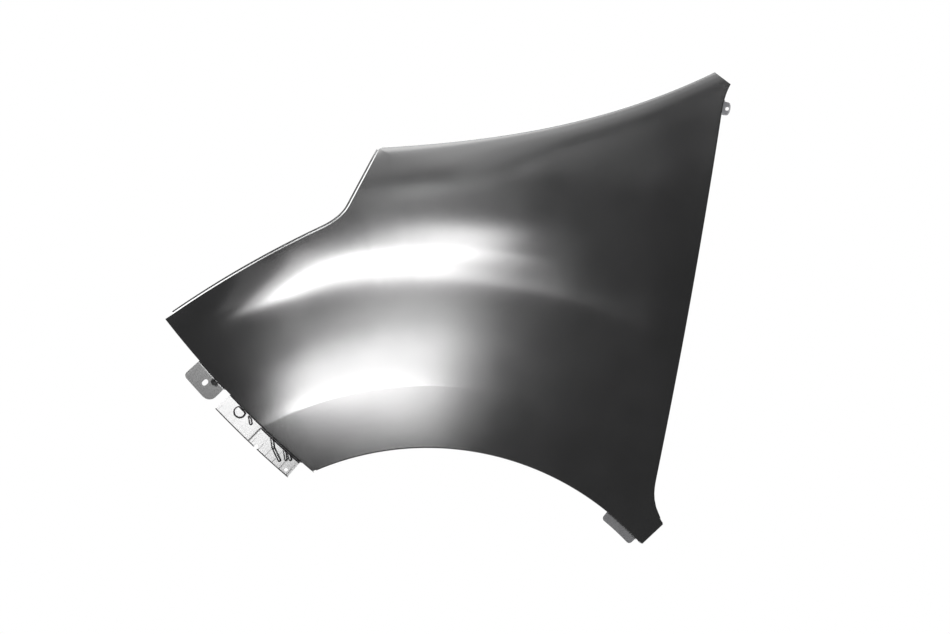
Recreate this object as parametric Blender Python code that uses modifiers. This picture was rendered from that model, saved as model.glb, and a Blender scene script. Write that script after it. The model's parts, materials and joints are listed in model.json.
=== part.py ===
"""Left front car fender: a pressed steel panel with folded edges, and four brackets welded to it.

X points to the rear of the car, Y inboard and Z up, in metres. The panel is laid out about the wheel
centre, and an empty then moves it all so that the front hood bolt pad is the origin.
"""

import math

import bmesh
import bpy
import numpy as np

# Wheel arch
ARCH_RADIUS = 0.400
ARCH_FRONT_DEG = 113.7
ARCH_REAR_DEG = 41.5

# Front of the panel: places ahead of the wheel centre, and heights above the crown of the arch
NOSE_AHEAD = 0.3694
NOSE_RISE = 0.1808
FRONT_EDGE_BOW = 0.008
LAMP_EDGE_BOW = 0.0055
LAMP_TURN_BACK = 0.2216
LAMP_TURN_UP = 0.1280
LAMP_RISE_BACK = 0.0376
LAMP_RISE_UP = 0.0317
HOOD_FRONT_BACK = 0.0435
HOOD_FRONT_UP = 0.0820
HOOD_FRONT_RISE_DEG = 3.3

# Rear of the panel: the top corner is the ear, and the other points hang from it or stand on the foot
EAR_BACK = 0.4259
EAR_RISE = 0.5109
EAR_LEAN_DEG = 30
HOOD_REAR_AHEAD = 0.0224
HOOD_REAR_UP = 0.0175
HOOD_REAR_RISE_DEG = 25.9
DOOR_TOP_AHEAD = 0.0126
DOOR_TOP_DROP = 0.0393
FOOT_CORNER_OUT = 0.0433
FOOT_CORNER_DEG = 41.66
FOOT_LEAN_DEG = -34.6
FOOT_WAIST_AHEAD = 0.0133
FOOT_WAIST_UP = 0.0407
DOOR_FOOT_AHEAD = 0.0105
DOOR_FOOT_UP = 0.0632
DOOR_EDGE_BOW = 0.0032

# Shape across the car: tilts of the plan section, from the nose to the door
PLAN_STATION_SHARES = (0, 0.125, 0.275, 0.45, 0.625, 0.80, 1)
PLAN_TILTS_DEG = (29.4, 18.1, 11.5, 12.1, 10.3, 8.0, 6.4)

# Section that runs out from the arch edge: lip, crease, waist, shoulder, body and top, one after the other
LIP_RUN = 0.088
LIP_TILT_DEG = 1.3
LIP_TOP_TILT_DEG = 0.3
CREASE_HALF_WIDTH = 0.0025
CREASE_RIDGE_TILT_DEG = 6.5
CREASE_TILT_DEG = 2.6
WAIST_RUN = 0.142
WAIST_TILT_DEG = -8.3
WAIST_RUN_SHARES = (0.384, 0.710)
WAIST_RUN_TILTS_DEG = (-2.6, -6.3)
ROUND_ROWS_SHARE = 0.507
SHOULDER_RUN = 0.140
SHOULDER_TILT_DEG = 8.1
SHOULDER_RUN_SHARE = 0.43
SHOULDER_RUN_TILT_DEG = 5.3
BODY_RUN = 0.090
BODY_TILT_DEG = 2.5
TOP_RUN = 0.240

# Where the ring section dies out before the door
FADE_BACK = 0.298
FADE_LENGTH = 0.177

# Roll-over to the hood: how steep it is at the hood line, and how far down it reaches
BODY_ROLL_DEG = 23.75
BODY_ROLL_REACH = 0.376
EDGE_ROLL_DEG = 17
EDGE_ROLL_REACH = 0.0057
HOOD_LINE_DEG = -4.8
HOOD_LINE_DROP = 0.0567
HOOD_LINE_REACH = 0.0297

# Sheet and its folds
SHEET = 0.0008
FOLD_RADIUS = 0.0016
HOOD_FOLD_RADIUS = 0.003
LAMP_FOLD_RADIUS = 0.001
CORNER_RELIEF = 0.003
EDGE_STRIP = 0.006
LAMP_LIP_START = 0.012
HOOD_WALL = 0.020
HOOD_SHELF = 0.022
ARCH_FLANGE = 0.012
DOOR_FLANGE = 0.015
FOOT_FLANGE = 0.014
FRONT_FLANGE = 0.013
LAMP_STEP = 0.002
LAMP_STEP_DEG = 23
LAMP_LIP = 0.0012

# Holes in the folds
HOOD_BOLT_HOLE = 0.009
HOOD_SLOT_LENGTH = 0.014
HOOD_PAD_SHARES = (0.0625, 0.375, 0.625, 0.9375)
PAD_POINT = 0.0174
CLIP_HOLE = 0.0065
CLIP_HOLE_SHARES = (0.10, 0.30, 0.50, 0.70, 0.90)
FOOT_HOLE = 0.008

# Brackets
BRACKET_SHEET = 0.0012
WELD_GAP = 0.0003
WELD_LEG = 0.007
BRACKET_FOLD_RADIUS = 0.0015
BUMPER_START = 0.0235
BUMPER_LENGTH = 0.1368
BUMPER_WIDTH = 0.0290
BUMPER_LIP = 0.0035
BUMPER_NOTCH_AT = 0.0771
BUMPER_NOTCH_RADIUS = 0.0035
BUMPER_HOLE_AT = 0.129
BUMPER_HOLE_OUT = 0.0207
BUMPER_HOLE = 0.0055
BOSS_AT = 0.027
BOSS_OUT = 0.006
BOSS_RADIUS = 0.009
BOSS_HEIGHT = 0.0022
BOSS_SHOULDER = 0.003
STEP_AT = 0.0635
STEP_WIDTH = 0.005
STEP_HEIGHT = 0.0012
BEAD_HALF_WIDTH = 0.0026
BEAD_HEIGHT = 0.0014
BEAD_START_SHARES = (
    (0.62, 0.03), (0.70, 0.33), (0.795, 0.02), (0.85, 0.02), (0.126, 0.30), (0.30, 0.02),
)
BEAD_END_SHARES = (
    (0.70, 0.33), (0.83, 0.58), (0.874, 0.34), (0.908, 0.20), (0.10, 0.62), (0.36, 0.22),
)
TAB_CLEARANCE = 0.0122
TAB_LENGTH = 0.0525
TAB_WIDTH = 0.030
TAB_CORNER_RADIUS = 0.006
TAB_LOWER_RADIUS = 0.013
TAB_HOLE_WIDTH = 0.0075
TAB_HOLE_LENGTH = 0.0100
TAB_HOLE_AT = 0.0247
TAB_HOLE_OUT = 0.0127
TAB_BOSS_AT = 0.016
TAB_BOSS_OUT = 0.001
TAB_BOSS_RADIUS = 0.006
TAB_BOSS_HEIGHT = 0.0018
PILLAR_TAB_DROP = 0.0303
PILLAR_TAB_WIDTH = 0.0185
PILLAR_TAB_LENGTH = 0.005
PILLAR_TAB_TURN_DEG = -15
PILLAR_TAB_HOLE = 0.0055
SILL_START = 0.0125
SILL_LENGTH = 0.0545
SILL_WIDTH = 0.0125
SILL_CORNER_RADIUS = 0.005

# How finely the sheets are divided
LAMP_COLUMNS = 15
LAMP_TURN_COLUMNS = 3
LAMP_RISE_COLUMNS = 3
HOOD_COLUMNS = 18
LIP_ROWS = 2
CREASE_ROWS = 2
WAIST_ROWS = 5
BODY_ROWS = 15
EAR_ROWS = 4
TOP_ROWS = 2
BEND_CUTS = 3
SHELF_CUTS = 3
PAD_COLUMNS = 1
BUMPER_STATIONS = 38
BUMPER_CUTS = 8
CORNER_STATIONS = 4
TAB_STATIONS = 11
TAB_CUTS = 5
PLATE_CUTS = 2
HOLE_SIDES = 16
CURVE_POINTS = 24
TABLE_POINTS = 3000
PROBE = 0.0002
OVERRUN = 0.004

CREASE_RADIUS = ARCH_RADIUS + LIP_RUN
WAIST_RADIUS = CREASE_RADIUS + WAIST_RUN
ROUND_ROWS_RADIUS = CREASE_RADIUS + ROUND_ROWS_SHARE * WAIST_RUN
UP = np.array([0.0, 0.0, 1.0])
INBOARD = np.array([0.0, 1.0, 0.0])


def unit(vectors):
    return vectors / np.linalg.norm(vectors, axis=-1, keepdims=True)


def dot(a, b):
    return (a * b).sum(-1, keepdims=True)


def square_to(vectors, along):
    """The part of each vector that is square to a direction, as a unit vector."""
    return unit(vectors - dot(vectors, along) * along)


def smooth_step(share):
    share = np.clip(share, 0, 1)
    return share**3 * (share * (6 * share - 15) + 10)


def smooth_curve(places, values, at):
    """A smooth curve through the values that never overshoots them."""
    places = np.array(places, float)
    values = np.array(values, float)
    step = np.diff(places)
    slope = np.diff(values) / step
    product = slope[:-1] * slope[1:]
    total = np.where(product > 0, slope[:-1] + slope[1:], 1)
    inner = np.where(product > 0, 2 * product / total, 0)
    tangent = np.concatenate([slope[:1], inner, slope[-1:]])
    k = np.clip(np.searchsorted(places, at) - 1, 0, len(step) - 1)
    t = np.clip((at - places[k]) / step[k], 0, 1)
    rise = (3 * t**2 - 2 * t**3) * (values[k + 1] - values[k])
    lean = (t**3 - 2 * t**2 + t) * tangent[k] + (t**3 - t**2) * tangent[k + 1]
    return values[k] + rise + lean * step[k]


def climb(places, tilts_deg, at):
    """Height of a section of these tilts, measured from its last place."""
    fine = np.linspace(places[0], places[-1], TABLE_POINTS)
    slope = np.tan(np.radians(smooth_curve(places, tilts_deg, fine)))
    gained = np.concatenate([[0], np.cumsum((slope[1:] + slope[:-1]) / 2 * np.diff(fine))])
    return np.interp(at, fine, gained) - gained[-1]


def hood_height(x):
    """The hood line: a cubic between its two ends with their rises."""
    length = HOOD_REAR[0] - HOOD_FRONT[0]
    t = (x - HOOD_FRONT[0]) / length
    front = math.tan(math.radians(HOOD_FRONT_RISE_DEG)) * length
    rear = math.tan(math.radians(HOOD_REAR_RISE_DEG)) * length
    rise = (3 * t**2 - 2 * t**3) * (HOOD_REAR[1] - HOOD_FRONT[1])
    return HOOD_FRONT[1] + rise + (t**3 - 2 * t**2 + t) * front + (t**3 - t**2) * rear


def plan_depth(x):
    """How far inboard the plan section has turned at each place between the nose and the door."""
    places = [NOSE[0] + share * (EAR[0] - NOSE[0]) for share in PLAN_STATION_SHARES]
    return -climb(places, PLAN_TILTS_DEG, x)


def ring_depth(radius):
    """Depth of the section that runs out from the arch edge."""
    crease_end = CREASE_RADIUS + CREASE_HALF_WIDTH
    waist_run = [crease_end + share * (WAIST_RADIUS - crease_end) for share in WAIST_RUN_SHARES]
    shoulder = WAIST_RADIUS + SHOULDER_RUN
    body = shoulder + BODY_RUN
    places = [ARCH_RADIUS, CREASE_RADIUS - CREASE_HALF_WIDTH, CREASE_RADIUS, crease_end, *waist_run]
    places += [WAIST_RADIUS, WAIST_RADIUS + SHOULDER_RUN_SHARE * SHOULDER_RUN, shoulder]
    places += [body, body + TOP_RUN]
    tilts = [LIP_TILT_DEG, LIP_TOP_TILT_DEG, CREASE_RIDGE_TILT_DEG, CREASE_TILT_DEG]
    tilts += [*WAIST_RUN_TILTS_DEG, WAIST_TILT_DEG, SHOULDER_RUN_TILT_DEG, SHOULDER_TILT_DEG]
    tilts += [BODY_TILT_DEG, 0]
    return climb(places, tilts, radius)


def roll_depth(drop):
    """Depth of the roll-over at a distance below the hood line."""
    slopes = np.tan(np.radians([BODY_ROLL_DEG, EDGE_ROLL_DEG, HOOD_LINE_DEG]))
    body = slopes[0] * BODY_ROLL_REACH * np.exp(-drop / BODY_ROLL_REACH)
    edge = slopes[1] * EDGE_ROLL_REACH * np.exp(-drop / EDGE_ROLL_REACH)
    hollow = slopes[2] * HOOD_LINE_REACH * (1 - np.tanh((drop - HOOD_LINE_DROP) / HOOD_LINE_REACH))
    return body + edge + hollow


def skin(flat):
    """Points of the outer face over points of the side view."""
    flat = np.asarray(flat, float)
    x = flat[..., 0]
    z = flat[..., 1]
    kept = 1 - smooth_step((x - FADE_BACK) / FADE_LENGTH)
    drop = np.maximum(hood_height(x) - z, 0)
    depth = plan_depth(x) + ring_depth(np.hypot(x, z)) * kept + roll_depth(drop)
    return np.stack([x, depth, z], -1)


def skin_normal(flat):
    """Outward unit normals of the outer face, from small steps along it."""
    step_x = skin(flat + np.array([PROBE, 0])) - skin(flat - np.array([PROBE, 0]))
    step_z = skin(flat + np.array([0, PROBE])) - skin(flat - np.array([0, PROBE]))
    return unit(np.cross(step_x, step_z))


def share_points(path, shares):
    """Points of a flat path at shares of its length."""
    steps = np.linalg.norm(np.diff(path, axis=0), axis=1)
    gone = np.concatenate([[0], np.cumsum(steps)])
    at = np.asarray(shares) * gone[-1]
    return np.stack([np.interp(at, gone, path[:, k]) for k in range(2)], -1)


def path_length(path):
    return np.linalg.norm(np.diff(path, axis=0), axis=1).sum()


def radius_point(path, radius):
    """The point of a path at this distance from the wheel centre."""
    away = np.hypot(path[:, 0], path[:, 1])
    return np.array([np.interp(radius, away, path[:, k]) for k in range(2)])


def bowed(start, end, bow):
    """A shallow arch of points between two points."""
    t = np.linspace(0, 1, CURVE_POINTS)[:, None]
    chord = end - start
    side = np.array([chord[1], -chord[0]]) / np.linalg.norm(chord)
    return start + t * chord + 4 * t * (1 - t) * bow * side


def eased(start, end, leave, arrive):
    """A curve between two points that leaves and arrives in the given directions."""
    t = np.linspace(0, 1, CURVE_POINTS)[:, None]
    reach = np.linalg.norm(end - start)
    ends = (2 * t**3 - 3 * t**2 + 1) * start + (3 * t**2 - 2 * t**3) * end
    return ends + reach * ((t**3 - 2 * t**2 + t) * leave + (t**3 - t**2) * arrive)


def leaning(degrees):
    """An upward direction in the side view that leans rearward by this angle."""
    return np.array([math.sin(math.radians(degrees)), math.cos(math.radians(degrees))])


def round_point(radius, degrees):
    """A point of the side view by its distance and bearing from the wheel centre."""
    return radius * np.array([math.cos(math.radians(degrees)), math.sin(math.radians(degrees))])


NOSE = np.array([-NOSE_AHEAD, ARCH_RADIUS + NOSE_RISE])
LAMP_TURN = NOSE + np.array([LAMP_TURN_BACK, LAMP_TURN_UP])
LAMP_RISE = LAMP_TURN + np.array([LAMP_RISE_BACK, LAMP_RISE_UP])
HOOD_FRONT = LAMP_RISE + np.array([HOOD_FRONT_BACK, HOOD_FRONT_UP])
EAR = np.array([EAR_BACK, ARCH_RADIUS + EAR_RISE])
HOOD_REAR = EAR + np.array([-HOOD_REAR_AHEAD, HOOD_REAR_UP])
DOOR_TOP = EAR - np.array([DOOR_TOP_AHEAD, DOOR_TOP_DROP])
FOOT_CORNER = round_point(ARCH_RADIUS + FOOT_CORNER_OUT, FOOT_CORNER_DEG)
FOOT_WAIST = FOOT_CORNER + np.array([-FOOT_WAIST_AHEAD, FOOT_WAIST_UP])
DOOR_FOOT = FOOT_CORNER + np.array([-DOOR_FOOT_AHEAD, DOOR_FOOT_UP])


def front_edge():
    """From the arch up to the nose."""
    return bowed(round_point(ARCH_RADIUS, ARCH_FRONT_DEG), NOSE, -FRONT_EDGE_BOW)


def lamp_edge():
    """From the nose round the headlamp to the front of the hood line."""
    lower = bowed(NOSE, LAMP_TURN, -LAMP_EDGE_BOW)
    turn = eased(LAMP_TURN, LAMP_RISE, unit(lower[-1] - lower[-2]), unit(HOOD_FRONT - LAMP_RISE))
    return np.concatenate([lower, turn[1:], [HOOD_FRONT]])


def rear_edge():
    """From the arch round the foot and up the door edge to the rear of the hood line."""
    edge = bowed(DOOR_FOOT, DOOR_TOP, DOOR_EDGE_BOW)
    foot = eased(FOOT_CORNER, FOOT_WAIST, leaning(FOOT_LEAN_DEG), leaning(0))
    heel = eased(FOOT_WAIST, DOOR_FOOT, leaning(0), unit(edge[1] - edge[0]))
    ear = eased(DOOR_TOP, EAR, unit(edge[-1] - edge[-2]), leaning(EAR_LEAN_DEG))
    start = round_point(ARCH_RADIUS, ARCH_REAR_DEG)
    return np.concatenate([[start], foot, heel[1:], edge[1:], ear[1:], [HOOD_REAR]])


def column_shares():
    """Even columns, with a narrow one at each end."""
    edge = EDGE_STRIP / (CREASE_RADIUS * math.radians(ARCH_FRONT_DEG - ARCH_REAR_DEG))
    count = LAMP_COLUMNS + HOOD_COLUMNS
    return np.concatenate([[0], np.linspace(edge, 1 - edge, count - 1), [1]])


def ring_radii():
    """Radii of the concentric rows, from the arch into the waist."""
    corner = np.linalg.norm(FOOT_CORNER)
    crease = CREASE_RADIUS + CREASE_HALF_WIDTH * np.linspace(-1, 1, CREASE_ROWS + 1)
    below = np.linspace(ARCH_RADIUS + CORNER_RELIEF, corner - CORNER_RELIEF, LIP_ROWS)
    above = np.linspace(corner + CORNER_RELIEF, crease[0], LIP_ROWS + 1)
    waist = np.linspace(crease[-1], ROUND_ROWS_RADIUS, WAIST_ROWS)
    return [ARCH_RADIUS, *below, corner, *above, *crease[1:], *waist[1:]]


def ring_row(radius, shares):
    """One concentric row between the front edge and the rear edge."""
    ends = [radius_point(front_edge(), radius), radius_point(rear_edge(), radius)]
    angles = [math.atan2(end[1], end[0]) for end in ends]
    angle = angles[0] + shares * (angles[1] - angles[0])
    return radius * np.stack([np.cos(angle), np.sin(angle)], -1)


def top_row():
    """Points along the headlamp edge and the hood line, close together at their shared corner."""
    lamp = lamp_edge()
    lip_start = LAMP_LIP_START / path_length(lamp)
    relief = CORNER_RELIEF / path_length(lamp)
    turn = path_length(lamp[:CURVE_POINTS]) / path_length(lamp)
    rise = path_length(lamp[: 2 * CURVE_POINTS - 1]) / path_length(lamp)
    lower = np.linspace(lip_start, turn, LAMP_COLUMNS - LAMP_TURN_COLUMNS - LAMP_RISE_COLUMNS)
    round_turn = np.linspace(turn, rise, LAMP_TURN_COLUMNS + 1)[1:]
    upper = np.linspace(rise, 1 - relief, LAMP_RISE_COLUMNS)[1:]
    front = share_points(lamp, np.concatenate([[0], lower, round_turn, upper, [1]]))
    x = np.linspace(HOOD_FRONT[0] + CORNER_RELIEF, HOOD_REAR[0] - CORNER_RELIEF, HOOD_COLUMNS - 1)
    x = np.append(x, HOOD_REAR[0])
    return np.concatenate([front, np.stack([x, hood_height(x)], -1)])


def beyond(path, radius):
    """The part of a path that lies farther than this from the wheel centre."""
    start = radius_point(path, radius)
    return np.concatenate([[start], path[np.hypot(path[:, 0], path[:, 1]) > radius]])


def body_rows(shares):
    """Rows that turn from the last circle into the headlamp edge and the hood line."""
    front = beyond(front_edge(), ROUND_ROWS_RADIUS)
    rear = beyond(rear_edge(), ROUND_ROWS_RADIUS)
    length = path_length(rear)
    relief = CORNER_RELIEF / length
    ear = 1 - np.linalg.norm(HOOD_REAR - EAR) / length
    door_top = ear - np.linalg.norm(EAR - DOOR_TOP) / length
    even = np.linspace(0, door_top, BODY_ROWS)[1:]
    leaning_out = np.linspace(door_top, ear - relief, EAR_ROWS)[1:]
    heights = np.concatenate([even, leaning_out, np.linspace(ear, 1, TOP_ROWS + 1)])
    bottom = ring_row(ROUND_ROWS_RADIUS, shares)
    top = top_row()
    u = shares[:, None]
    rows = []
    for v, left, right in zip(heights, share_points(front, heights), share_points(rear, heights)):
        sides = (1 - u) * left + u * right
        corners = (1 - v) * ((1 - u) * bottom[0] + u * bottom[-1]) + v * ((1 - u) * top[0] + u * top[-1])
        rows.append((1 - v) * bottom + v * top + sides - corners)
    return rows


def bend(points, heading, goal, radius):
    """Rows of a fold that turns the sheet from its heading to a goal direction."""
    turn = np.arccos(np.clip(dot(heading, goal), -1, 1))
    side = square_to(goal, heading)
    rows = []
    for k in range(1, BEND_CUTS + 1):
        angle = turn * k / BEND_CUTS
        rows.append(points + radius * (np.sin(angle) * heading + (1 - np.cos(angle)) * side))
    return rows


def run(points, heading, length, cuts=1):
    """Rows of a flat stretch of the sheet."""
    return [points + heading * length * k / cuts for k in range(1, cuts + 1)]


class Sheet:
    """Points and faces of an open sheet, added row by row."""

    def __init__(self):
        self.points = []
        self.faces = []

    def add_row(self, row):
        first = len(self.points)
        self.points.extend(np.array(point) for point in row)
        return list(range(first, len(self.points)))

    def join(self, below, above):
        for k in range(len(below) - 1):
            self.faces.append((below[k], below[k + 1], above[k + 1], above[k]))

    def add_rows(self, rows, start=None):
        """Adds rows one after the other, from a row of points that is already there."""
        numbers = [start] if start else []
        for row in rows:
            numbers.append(self.add_row(row))
            if len(numbers) > 1:
                self.join(numbers[-2], numbers[-1])
        return numbers


def edge_frames(flat, centre):
    """Points on an edge of the skin, with the directions along it and out of it."""
    points = skin(flat)
    along = unit(np.gradient(points, axis=0))
    out = square_to(np.cross(along, skin_normal(flat)), along)
    away = dot(out, points - centre).sum()
    return points, along, out * np.sign(away)


def inset_edge(flat, centre, radius):
    """Draws an edge in, so that its fold ends on the outline, and returns its frames there."""
    points, along, out = edge_frames(flat, centre)
    inboard = square_to(np.broadcast_to(INBOARD, points.shape), along)
    turn = np.arccos(np.clip(dot(out, inboard), -1, 1))
    moved = flat - radius * np.tan(turn / 2) * out[:, [0, 2]]
    return moved, skin(moved), along, out, inboard


def mesh_object(name, sheet, collection, parent):
    """Makes an open sheet into an object whose faces look outboard or up."""
    mesh = bpy.data.meshes.new(name)
    mesh.from_pydata([tuple(point) for point in sheet.points], [], sheet.faces)
    work = bmesh.new()
    work.from_mesh(mesh)
    bmesh.ops.recalc_face_normals(work, faces=work.faces)
    facing = sum(face.normal.y * face.calc_area() for face in work.faces)
    if facing > 0:
        bmesh.ops.reverse_faces(work, faces=work.faces)
    work.to_mesh(mesh)
    work.free()
    made = bpy.data.objects.new(name, mesh)
    collection.objects.link(made)
    made.parent = parent
    return made


def thicken(made, thickness):
    shell = made.modifiers.new("Sheet thickness", "SOLIDIFY")
    shell.thickness = thickness
    shell.offset = -1
    shell.use_even_offset = True


def frame_matrix(centre, axis, along):
    """A placement whose Z is the axis of a hole and whose X runs along its slot."""
    z = np.array(axis) / np.linalg.norm(axis)
    x = square_to(np.array(along), z)
    y = np.cross(z, x)
    rows = [[x[k], y[k], z[k], centre[k]] for k in range(3)]
    rows.append([0, 0, 0, 1])
    return rows


def add_slot(work, width, length, placement):
    """Adds a round-ended cutter to a mesh: a cylinder pulled apart along its slot."""
    made = bmesh.ops.create_cone(
        work,
        cap_ends=True,
        segments=HOLE_SIDES,
        radius1=width / 2,
        radius2=width / 2,
        depth=2 * OVERRUN,
    )
    matrix = np.array(placement)
    for vertex in made["verts"]:
        local = np.array([*vertex.co, 1])
        local[0] += np.sign(round(local[0] / width, 3)) * (length - width) / 2
        vertex.co = (matrix @ local)[:3]


def cut_holes(made, slots, cutters, parent):
    """Cuts slots, each a width, a length and a placement, through a part."""
    mesh = bpy.data.meshes.new(made.name + "_holes")
    work = bmesh.new()
    for width, length, placement in slots:
        add_slot(work, width, length, placement)
    work.to_mesh(mesh)
    work.free()
    cutter = bpy.data.objects.new(made.name + "_holes", mesh)
    cutters.objects.link(cutter)
    cutter.parent = parent
    cutter.hide_render = True
    cutter.display_type = "WIRE"
    holes = made.modifiers.new("Holes", "BOOLEAN")
    holes.operation = "DIFFERENCE"
    holes.solver = "EXACT"
    holes.object = cutter


def flatten(rows, columns, normal):
    """Presses a flat pad into the rows of a shelf, and returns its centre and normal."""
    picked = np.concatenate([row[columns] for row in rows])
    centre = picked.mean(axis=0)
    for row in rows:
        row[columns] -= dot(row[columns] - centre, normal) * normal
    return centre, normal


def hood_flange(sheet, edge, numbers):
    """The wall and the bolted shelf along the hood, with a flat pad round each bolt hole."""
    points, along, out = edge
    down = square_to(np.broadcast_to(-UP, points.shape), along)
    inboard = np.cross(along, down)
    inboard *= np.sign(dot(inboard, INBOARD))
    rows = bend(points, out, down, HOOD_FOLD_RADIUS)
    rows += run(rows[-1], down, HOOD_WALL)
    rows += bend(rows[-1], down, inboard, FOLD_RADIUS)
    rows += run(rows[-1], inboard, HOOD_SHELF, SHELF_CUTS)
    shelf = rows[-SHELF_CUTS - 1:]
    pads = []
    for share in HOOD_PAD_SHARES:
        column = round(share * (HOOD_COLUMNS - 2))
        columns = slice(column - PAD_COLUMNS, column + PAD_COLUMNS + 1)
        centre, normal = flatten(shelf, columns, unit(down[columns].mean(axis=0)))
        pads.append((centre, normal, unit(along[columns].mean(axis=0))))
    sheet.add_rows(rows, numbers)
    return pads


def panel_grid():
    """The flat grid of the skin, row by row from the arch to the hood line."""
    shares = column_shares()
    rows = [ring_row(radius, shares) for radius in ring_radii()]
    return np.array(rows + body_rows(shares))


def draw_in_corners(grid, moved, corner_row):
    """Moves each corner between two folds to where its drawn-in edges meet."""
    corners = {
        (0, 0): ((0, 1), (1, 0)),
        (0, -1): ((0, -2), (1, -1)),
        (corner_row, -1): ((corner_row - 1, -1), (corner_row + 1, -1)),
        (-1, LAMP_COLUMNS): ((-1, LAMP_COLUMNS - 1), (-1, LAMP_COLUMNS + 1)),
    }
    for corner, sides in corners.items():
        shifts = np.array([moved[side] for side in sides])
        grid[corner] += np.linalg.solve(shifts, (shifts**2).sum(axis=1))
    # The foot corner's row runs almost along the door edge, so its next point is set between its neighbours
    grid[corner_row, -2] = (grid[corner_row - 1, -2] + grid[corner_row + 1, -2]) / 2


def fender_panel(collection, cutters, parent, material):
    """The pressed skin with a fold on every edge, and the holes in the folds."""
    grid = panel_grid()
    row_count, column_count = grid.shape[:2]
    centre = skin(grid.mean(axis=(0, 1)))
    corner_row = LIP_ROWS + 1
    ear_row = row_count - 1 - TOP_ROWS
    edges = {
        "arch": (0, slice(1, column_count - 1), FOLD_RADIUS),
        "lamp": (row_count - 1, slice(1, LAMP_COLUMNS), LAMP_FOLD_RADIUS),
        "hood": (row_count - 1, slice(LAMP_COLUMNS + 1, column_count), HOOD_FOLD_RADIUS),
        "front": (slice(1, row_count), 0, FOLD_RADIUS),
        "foot": (slice(1, corner_row), column_count - 1, FOLD_RADIUS),
        "door": (slice(corner_row + 1, ear_row + 1), column_count - 1, FOLD_RADIUS),
    }
    outline = grid.copy()
    frames = {}
    for name, (rows, columns, radius) in edges.items():
        moved, points, along, out, goals = inset_edge(grid[rows, columns], centre, radius)
        grid[rows, columns] = moved
        frames[name] = (points, along, out, goals)
    draw_in_corners(grid, grid - outline, corner_row)
    for k in range(1, TOP_ROWS):
        grid[ear_row + k] = grid[ear_row] + k / TOP_ROWS * (grid[-1] - grid[ear_row])
    sheet = Sheet()
    numbers = np.array(sheet.add_rows(skin(grid)))
    slots = []
    folds = {}
    lengths = {"arch": ARCH_FLANGE, "front": FRONT_FLANGE, "foot": FOOT_FLANGE, "door": DOOR_FLANGE}
    for name, length in lengths.items():
        rows, columns = edges[name][:2]
        points, along, out, goals = frames[name]
        fold = bend(points, out, goals, FOLD_RADIUS)
        fold += run(fold[-1], goals, length - FOLD_RADIUS)
        sheet.add_rows(fold, list(numbers[rows, columns]))
        folds[name] = fold
    rows, columns = edges["lamp"][:2]
    points, along, out, goals = frames["lamp"]
    slant = math.radians(LAMP_STEP_DEG)
    down = math.cos(slant) * out + math.sin(slant) * goals
    lip = bend(points, out, down, LAMP_FOLD_RADIUS)
    lip += run(lip[-1], down, LAMP_STEP)
    lip += bend(lip[-1], down, out, LAMP_FOLD_RADIUS)
    lip += run(lip[-1], out, LAMP_LIP)
    sheet.add_rows(lip, list(numbers[rows, columns]))
    rows, columns = edges["hood"][:2]
    pads = hood_flange(sheet, frames["hood"][:3], list(numbers[rows, columns]))
    for k, (middle, normal, along) in enumerate(pads):
        length = HOOD_BOLT_HOLE if k == 0 else HOOD_SLOT_LENGTH
        slots.append((HOOD_BOLT_HOLE, length, frame_matrix(middle, normal, along)))
    slots += fold_holes(folds["arch"], frames["arch"], CLIP_HOLE, CLIP_HOLE_SHARES)
    slots += fold_holes(folds["foot"], frames["foot"], FOOT_HOLE, [0.5])
    panel = mesh_object("fender_panel", sheet, collection, parent)
    panel.data.materials.append(material)
    thicken(panel, SHEET)
    cut_holes(panel, slots, cutters, parent)
    return pads, centre


def between(rows, place):
    """The value at a place, counted in stations, along a row of points or directions."""
    low = min(int(place), len(rows) - 2)
    return rows[low] + (place - low) * (rows[low + 1] - rows[low])


def fold_holes(fold, frame, width, shares):
    """Round holes in the middle of a fold's flat run."""
    middles = (fold[-1] + fold[-2]) / 2
    slots = []
    for share in shares:
        place = share * (len(middles) - 1)
        along = between(frame[1], place)
        axis = np.cross(along, between(frame[3], place))
        slots.append((width, width, frame_matrix(between(middles, place), axis, along)))
    return slots


def bead_height(along, across, start, end):
    """Height of one pressed bead over points of a plate."""
    run_along = end[0] - start[0]
    run_across = end[1] - start[1]
    length = run_along**2 + run_across**2
    t = ((along - start[0]) * run_along + (across - start[1]) * run_across) / length
    t = np.clip(t, 0, 1)
    away = np.hypot(along - start[0] - t * run_along, across - start[1] - t * run_across)
    return BEAD_HEIGHT * smooth_step(1 - away / BEAD_HALF_WIDTH)


def bumper_relief(along, across):
    """Height of the bumper bracket's pressed boss, step and beads over its plate."""
    away = np.hypot(along - BOSS_AT, across - BOSS_OUT)
    height = BOSS_HEIGHT * smooth_step((BOSS_RADIUS - away) / BOSS_SHOULDER)
    height += STEP_HEIGHT * smooth_step((along - STEP_AT) / STEP_WIDTH + 0.5)
    for start, end in zip(BEAD_START_SHARES, BEAD_END_SHARES):
        begin = (start[0] * BUMPER_LENGTH, start[1] * BUMPER_WIDTH)
        finish = (end[0] * BUMPER_LENGTH, end[1] * BUMPER_WIDTH)
        height += bead_height(along, across, begin, finish)
    return height


def tab_relief(along, across):
    away = np.hypot(along - TAB_BOSS_AT, across - TAB_BOSS_OUT)
    return TAB_BOSS_HEIGHT * smooth_step(1 - away / TAB_BOSS_RADIUS)


def front_places(start, length, count):
    """Places along the front edge, measured from the arch."""
    path = front_edge()
    total = path_length(path)
    distances = np.linspace(start, start + length, count)
    return share_points(path, distances / total), distances - start


def end_rounding(distances, length, first, last):
    """How much narrower a plate is near its two ends, whose corners have these radii."""
    narrower = np.zeros(len(distances))
    for inside, radius in ((distances, first), (length - distances, last)):
        left = radius - np.minimum(inside, radius)
        narrower += radius - np.sqrt(np.maximum(radius**2 - left**2, 0))
    return narrower[:, None]


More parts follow.
